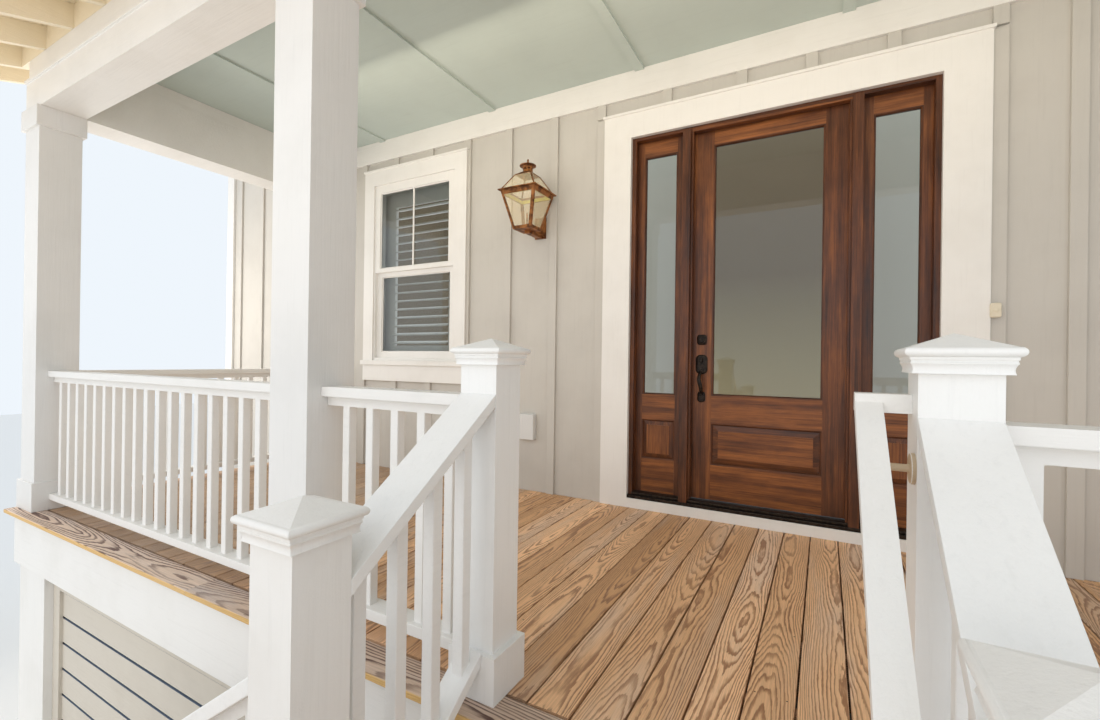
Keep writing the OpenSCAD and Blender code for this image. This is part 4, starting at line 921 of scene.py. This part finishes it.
# Entry set: deadbolt, thumb latch with a bowed grip, and a lever inside. Heights are over the
# porch floor. A plate is its width, height and corner radius, a flat piece its width, height
# and edge radius, and a turned piece its rings of radius and distance from the door's face
handleLook = {"x": -0.385, "bolt": 1.165, "latch": 1.001, "foot": 0.786,
              "boltPlate": (0.064, 0.068, 0.020), "latchPlate": (0.076, 0.128, 0.030),
              "footPlate": (0.051, 0.071, 0.020),
              "plateTiers": ((0.0, 0.0), (0.0, 0.005), (0.003, 0.008), (0.006, 0.0085),
                             (0.009, 0.011)),
              "keyRings": ((0.023, 0.008), (0.023, 0.016), (0.020, 0.019), (0.016, 0.0195),
                           (0.015, 0.017), (0.0115, 0.017), (0.011, 0.022), (0.0, 0.0225)),
              "buttonRings": ((0.013, 0.008), (0.013, 0.020), (0.010, 0.024), (0.0, 0.024)),
              "buttonRise": 0.030, "thumb": (0.026, 0.006, 0.0028), "thumbRise": 0.016,
              "thumbOut": 0.010, "thumbLength": 0.048, "gripTop": 0.955, "gripLow": 0.800,
              "gripSteps": 22, "gripOut": 0.006, "bow": 0.052, "sway": 0.006,
              "gripRadius": 0.0062, "gripSwell": 0.0042, "gripWidth": 1.25,
              "gripFeet": (0.014, 0.012), "roses": (0.028, 0.030),
              "turnPiece": (0.010, 0.032, 0.0045), "turnOut": 0.010, "turnLength": 0.018,
              "lever": (0.012, 0.018, 0.0055), "leverBack": 0.009, "leverOut": 0.036,
              "leverLength": 0.071, "stemRings": ((0.009, 0.020), (0.009, 0.040))}


def makeHandle(v):
    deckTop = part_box("deck_floor")[1][2]
    low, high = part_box("door_slab")
    front, back = low[1], high[1]
    x = v["x"]
    bolt, latch = deckTop + v["bolt"], deckTop + v["latch"]
    solid = newSolid()

    def plate(width, height, corner, z):
        rect = (x - width / 2, x + width / 2, z - height / 2, z + height / 2)
        tiers = [(step, front - out) for step, out in v["plateTiers"]]
        addTiers(solid, rect, tiers, plainLog, corner=corner, steps=5)

    def flatPiece(axes, start, length, width, height, ease):
        profile = easedProfile(-width / 2, width / 2, -height / 2, height / 2, ease, 3)
        addStick(solid, axes, start, length, profile, plainLog)

    # Outside
    plate(*v["boltPlate"], bolt)
    plate(*v["latchPlate"], latch)
    plate(*v["footPlate"], deckTop + v["foot"])
    addTurned(solid, (x, front, bolt), -alongY, v["keyRings"])
    addTurned(solid, (x, front, latch + v["buttonRise"]), -alongY, v["buttonRings"])
    flatPiece((-alongY, alongX, alongZ), (x, front - v["thumbOut"], latch + v["thumbRise"]),
              v["thumbLength"], *v["thumb"])
    points, radii = [], []
    for k in range(v["gripSteps"] + 1):
        t = k / v["gripSteps"]
        z = deckTop + v["gripTop"] + (v["gripLow"] - v["gripTop"]) * t
        bow = v["bow"] * math.sin(math.pi * min(1.0, t * 1.04)) ** 0.62
        sway = -v["sway"] * math.sin(2 * math.pi * t)
        points.append(Vector((x + sway, front - v["gripOut"] - bow, z)))
        radii.append(v["gripRadius"] + v["gripSwell"] * math.sin(math.pi * t) ** 0.8)
    addBar(solid, points, radii, v["gripWidth"], 14)
    for height, radius in zip((v["gripTop"], v["gripLow"]), v["gripFeet"]):
        addTurned(solid, (x, front, deckTop + height), -alongY,
                  ((radius, 0.008), (radius, 0.013), (radius * 0.7, 0.018), (0.0, 0.019)), 18)

    # Inside
    for z, radius in zip((bolt, latch), v["roses"]):
        addTurned(solid, (x, back, z), alongY,
                  ((radius, 0.0), (radius, 0.006), (radius * 0.8, 0.010), (0.010, 0.012),
                   (0.010, 0.026), (0.0, 0.027)))
    flatPiece((alongY, alongX, alongZ), (x, back + v["turnOut"], bolt), v["turnLength"],
              *v["turnPiece"])
    flatPiece((alongX, alongY, alongZ), (x - v["leverBack"], back + v["leverOut"], latch),
              v["leverLength"], *v["lever"])
    addTurned(solid, (x, back, latch), alongY, v["stemRings"])
    makePiece(solid, "doorHandleSet", metal["bronze"], "door", ("door_handle",),
              40)


makeHandle(handleLook)


# Tan brackets that hold the round-edged handrail to the newels: each an arm in X that turns up
# under the rail. Their places follow from the handrail's box and its slope
bracketLook = {"railHalf": 0.0255, "endInset": 0.0905, "lowRise": 0.03096, "slope": 0.70088,
               "plate": 0.0315, "plateThick": 0.0092, "sink": 0.0003, "rod": 0.0078,
               "elbow": 0.0112, "rise": 0.064}


def makeBrackets(v):
    low, high = (Vector(corner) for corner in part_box("handrail"))
    middle = low.x + v["railHalf"]
    first, last = low.y + v["endInset"], high.y - v["endInset"]
    solid = newSolid()
    rod, plate, thick, elbow = v["rod"], v["plate"], v["plateThick"], v["elbow"]
    arm = ((plate, 0.0), (plate, thick - 0.003), (plate - 0.002, thick - 0.001),
           (plate - 0.005, thick), (rod + 0.003, thick), (rod, thick + 0.004),
           (rod, high.x - middle))
    ball = [(elbow * math.sin(math.pi * k / 8), -elbow * math.cos(math.pi * k / 8))
            for k in range(9)]
    for y in (last, first):
        z = low.z + v["lowRise"] + (y - first) * v["slope"]
        corner = (middle, y, z)
        addTurned(solid, (high.x - v["sink"], y, z), -alongX, arm, 28)
        addTurned(solid, corner, alongZ, ball, 20)
        addTurned(solid, corner, alongZ, ((rod, 0.0), (rod, v["rise"])), 20)
    makePiece(solid, "railBrackets", tanPaint, "house", smooth=40)


makeBrackets(bracketLook)


# Windows: a narrow bar down the upper sash and glazing beads round both panes. The upper sash
# starts more than upperFrom over the porch floor
windowLook = {"bar": 0.017, "barDepth": 0.009, "barEase": 0.002, "lap": 0.008, "bead": 0.009,
              "beadDepth": 0.007, "beadLip": 0.0015, "upperFrom": 1.8}


def makeWindowBars(v):
    rng = random.Random(53)
    solid = newSolid()
    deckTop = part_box("deck_floor")[1][2]
    bar = easedProfile(-v["bar"] / 2, v["bar"] / 2, 0, v["barDepth"], v["barEase"])
    bead = ((0.0, 0.0), (v["bead"], 0.0), (v["bead"], v["beadLip"]), (0.0, v["beadDepth"]))
    for low, high in islandBoxes("window_glass"):
        x0, x1, z0, z1 = inset((low.x, high.x, low.z, high.z), v["lap"])
        front = low.y
        if z0 > deckTop + v["upperFrom"]:
            addStick(solid, (alongZ, alongX, -alongY), ((x0 + x1) / 2, front, z0), z1 - z0, bar,
                     pickLog(rng))
        for (x, z), along, across, length in frameSides((x0, z0), (x1, z1), alongX, alongZ):
            addStick(solid, (along, across, -alongY), (x, front, z), length, bead, pickLog(rng),
                     mitred)
    makePiece(solid, "windowBars", trimPaint["z"], "house")


makeWindowBars(windowLook)


# Doorbell with its button, and the hinged cover of the outlet
fittingLook = {"button": 0.010, "buttonRim": 0.003, "corner": 0.010, "lidGap": 0.002}


def makeFittings(v):
    outlet, bell = islandBoxes("wall_fittings")

    # A groove runs round each cover, between its base and its lid
    def addCover(solid, low, high):
        depth = high.y - low.y
        gap = v["lidGap"]
        tiers = ((0.0, high.y), (0.0, low.y + depth * 0.45), (gap, low.y + depth * 0.42),
                 (gap, low.y + depth * 0.36), (0.0, low.y + depth * 0.33),
                 (0.001, low.y + 0.004), (0.004, low.y))
        addTiers(solid, (low.x, high.x, low.z, high.z), tiers, plainLog, corner=v["corner"],
                 steps=4)

    solid = newSolid()
    addCover(solid, *outlet)
    makePiece(solid, "outletCover", palePlastic, "house", smooth=35)
    solid = newSolid()
    addCover(solid, *bell)
    low, high = bell
    centre = ((low.x + high.x) / 2, low.y, (low.z + high.z) / 2)
    button = v["button"]
    rim = button + v["buttonRim"]
    addTurned(solid, centre, -alongY, ((rim, -0.001), (rim, 0.001), (button, 0.001),
                                       (button, 0.003), (button - 0.002, 0.004), (0.0, 0.0045)))
    makePiece(solid, "doorbell", coverPlastic, "house", ("wall_fittings",),
              35)


makeFittings(fittingLook)


# Inside the lantern: a brass liner runs round under the eaves, its top measured from the
# lantern's foot
linerLook = {"top": 0.291, "inset": 0.011, "height": 0.026, "thick": 0.003, "ease": 0.001}


def makeLiner(v):
    low, high = (Vector(corner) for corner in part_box("lantern_glass"))
    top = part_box("lantern_frame")[0][2] + v["top"]
    x0, x1, y0, y1 = inset((low.x, high.x, low.y, high.y), v["inset"])
    solid = newSolid()
    profile = easedProfile(0, v["thick"], -v["height"], 0, v["ease"], 1)
    for (x, y), along, across, length in frameSides((x0, y0), (x1, y1), alongX, alongY):
        addStick(solid, (along, across, alongZ), (x, y, top), length, profile, plainLog, mitred)
    makePiece(solid, "lanternLiner", metal["brass"], "house")


makeLiner(linerLook)


# Narrow boards that close the side beams up to the ceiling. The right beam's inner face is
# found among the corners that lie past rightOf and behind
closerLook = {"ceilingThick": 0.012, "setBack": 0.005, "thick": 0.019, "gap": 0.0005,
              "ease": 0.0015, "rightOf": 3.0, "behind": -1.0, "near": 0.0001}


def makeClosers(v):
    rng = random.Random(59)
    corners = [vert.co for vert in nodes["roof_beams"].data.vertices]
    inner = min(c.x for c in corners if c.x > v["rightOf"] and c.y > v["behind"])
    face = [c for c in corners if abs(c.x - inner) < v["near"]]
    low = max(c.z for c in face)
    front = min(c.y for c in face)
    back = max(c.y for c in face)
    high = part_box("porch_ceiling")[1][2] - v["ceilingThick"]
    x = inner + v["setBack"]
    profile = easedProfile(0, v["thick"], 0, high - low - v["gap"], v["ease"])
    solid = newSolid()
    for left in (-x - v["thick"], x):
        addStick(solid, (alongY, alongX, alongZ), (left, front, low), back - front, profile,
                 pickLog(rng))
    makePiece(solid, "beamClosers", trimPaint["y"], "house")


makeClosers(closerLook)


# Porch roof: painted boards on the rafters, courses of shingles and a metal edge
roofLook = {"slope": 0.2917, "board": 0.140, "boardThick": 0.020, "groove": 0.0015,
            "boardEdge": 0.0025, "course": 0.143, "tab": 0.300, "tabGap": 0.003,
            "leastTab": 0.010, "butt": 0.013, "tail": 0.003, "lift": 0.002,
            "dripUnder": 0.050, "dripOut": 0.006, "dripDown": 0.012, "dripThick": 0.003,
            "dripGap": 0.001}


def makeRoof(v):
    rng = random.Random(61)
    low, high = (Vector(corner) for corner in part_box("roof_deck"))
    pitch = math.atan(v["slope"])
    downhill = Vector((0, -math.cos(pitch), -math.sin(pitch)))
    outward = Vector((0, -math.sin(pitch), math.cos(pitch)))
    length = (high.y - low.y) / math.cos(pitch)
    thick = (high.z - low.z - (high.y - low.y) * v["slope"]) * math.cos(pitch)
    underBack = Vector((low.x, high.y, high.z - thick / math.cos(pitch)))
    width = high.x - low.x
    solid = newSolid()
    count = math.ceil(length / v["board"])
    each = length / count
    profile = easedProfile(v["groove"] / 2, each - v["groove"] / 2, 0, v["boardThick"],
                           v["boardEdge"], 1)
    for k in range(count):
        addStick(solid, (alongX, downhill, outward), underBack + downhill * (k * each), width,
                 profile, pickLog(rng))
    makePiece(solid, "roofBoards", warmLitEavesPaint, "house", ("roof_deck",))

    solid = newSolid()
    courses = round(length / v["course"])
    course = length / courses
    base = v["boardThick"]
    for k in range(courses):
        x = low.x - (v["tab"] / 2 if k % 2 else 0.0)
        while x < high.x:
            left = max(x, low.x)
            right = min(x + v["tab"] - v["tabGap"], high.x)
            if right - left > v["leastTab"]:
                lift = rng.uniform(0, v["lift"])
                slab = ((0.0, base), (course, base), (course, base + v["butt"] + lift),
                        (0.0, base + v["tail"]))
                log = dict(pickLog(rng), tone=rng.uniform(0.1, 0.9))
                addStick(solid, (alongX, downhill, outward),
                         Vector((left, underBack.y, underBack.z)) + downhill * (k * course),
                         right - left, slab, log)
            x += v["tab"]
    makePiece(solid, "roofShingles", shingle, "house")

    solid = newSolid()
    edge = underBack + downhill * length
    under, out, down = v["dripUnder"], v["dripOut"], v["dripDown"]
    top = base - v["dripGap"]
    inner, bottom = out - v["dripThick"], top - v["dripThick"]
    drip = ((-under, top), (out, top), (out, -down), (inner, -down), (inner, bottom),
            (-under, bottom))
    addStick(solid, (alongX, downhill, outward), edge, width, drip, pickLog(rng))
    makePiece(solid, "roofEdge", metal["flashing"], "house")


makeRoof(roofLook)


# Studio: pale floor, an even sky, a wide soft sun and soft lamps that fill the porch
studio = {"floorSize": 60.0, "floorColour": (0.80, 0.80, 0.79), "sky": (0.88, 0.94, 1.0),
          "skyStrength": 0.98, "sunStrength": 0.36, "sunWidth": 48, "sunTurn": (54, 0, -16)}
# Place, turn, size, power and colour of each soft lamp
lampSettings = {
    "towardFrieze": ((-0.7, -1.15, 4.38), (66, 0, 0), (4.6, 0.3), 14, (1.0, 0.87, 0.70)),
    "overDeck": ((-0.6, -1.3, 1.75), (180, 0, 0), (6.4, 1.2), 15, (1.0, 0.88, 0.74)),
    "leftOpening": ((-6.2, -1.7, 3.0), (0, -95, 0), (1.6, 2.0), 52, (1.0, 0.90, 0.78)),
    "underEaves": ((0, -3.6, 2.7), (172, 0, 0), (9.4, 0.8), 25, (1.0, 0.82, 0.60)),
    "frontCard": ((0, -10.5, 2.4), (93, 0, 0), (14.0, 4.0), 215, (1.0, 0.88, 0.76)),
}


def makeStudio(v):
    bpy.ops.mesh.primitive_plane_add(size=v["floorSize"], location=(0, 0, -0.001))
    floor = bpy.context.object
    floor.name = "studioFloor"
    material, tree, shader = newMaterial("studioFloor")
    shader.inputs["Base Color"].default_value = rgb(v["floorColour"])
    shader.inputs["Roughness"].default_value = 0.9
    floor.data.materials.append(material)
    world = bpy.data.worlds.new("studioSky")
    world.use_nodes = True
    world.node_tree.nodes["Background"].inputs["Color"].default_value = rgb(v["sky"])
    world.node_tree.nodes["Background"].inputs["Strength"].default_value = v["skyStrength"]
    bpy.context.scene.world = world
    sun = bpy.data.lights.new("softSun", "SUN")
    sun.energy = v["sunStrength"]
    sun.angle = math.radians(v["sunWidth"])
    lamp = bpy.data.objects.new("softSun", sun)
    lamp.rotation_euler = [math.radians(turn) for turn in v["sunTurn"]]
    lamp.visible_glossy = False
    lamp.visible_transmission = False
    bpy.context.collection.objects.link(lamp)


# A card behind the panes is painted with the light and shade of a dim room: only what is seen
# through glass meets this card. Its painted light and shade change with height, and to each side
# of the door and towards the windows
roomLightLook = {"place": (0, 0.75, 3.1), "size": (17.0, 3.4), "top": (0.40, 0.33, 0.24),
            "low": (0.85, 0.78, 0.50), "beside": (0.85, 0.86, 0.80),
            "windows": (0.24, 0.19, 0.13), "heights": (2.4, 3.3), "besideFrom": (0.46, 0.56),
            "windowsFrom": (1.5, 2.2)}


def makeRoomLightCard(v):
    bpy.ops.mesh.primitive_plane_add(size=1, location=v["place"], rotation=(math.pi / 2, 0, 0))
    card = bpy.context.object
    card.name = "paintedRoomLight"
    card.scale = (*v["size"], 1)
    material, tree, shader = newMaterial("paintedRoomLight")
    place = addNode(tree, "ShaderNodeNewGeometry").outputs["Position"]
    parts = axisParts(tree, place)
    aside = calc(tree, "ABSOLUTE", parts[0])
    colour = mixColour(tree, remap(tree, parts[2], *v["heights"]), rgb(v["low"]), rgb(v["top"]))
    colour = mixColour(tree, remap(tree, aside, *v["besideFrom"]), colour, rgb(v["beside"]))
    colour = mixColour(tree, remap(tree, aside, *v["windowsFrom"]), colour, rgb(v["windows"]))
    tree.links.new(colour, shader.inputs["Base Color"])
    shader.inputs["Roughness"].default_value = 1.0
    shader.inputs["Specular IOR Level"].default_value = 0.0
    card.data.materials.append(material)
    card.visible_camera = False
    card.visible_diffuse = False
    card.visible_glossy = False
    card.visible_shadow = False


def addSoftLamp(name, place, turn, size, power, colour):
    data = bpy.data.lights.new(name, "AREA")
    data.shape = "RECTANGLE"
    data.size, data.size_y = size
    data.energy = power
    data.color = colour
    lamp = bpy.data.objects.new(name, data)
    lamp.location = place
    lamp.rotation_euler = [math.radians(angle) for angle in turn]
    lamp.visible_camera = False
    lamp.visible_glossy = False
    lamp.visible_transmission = False
    bpy.context.collection.objects.link(lamp)


makeStudio(studio)
makeRoomLightCard(roomLightLook)
for name, settings in lampSettings.items():
    addSoftLamp(name, *settings)
bpy.context.scene.view_settings.view_transform = "Standard"
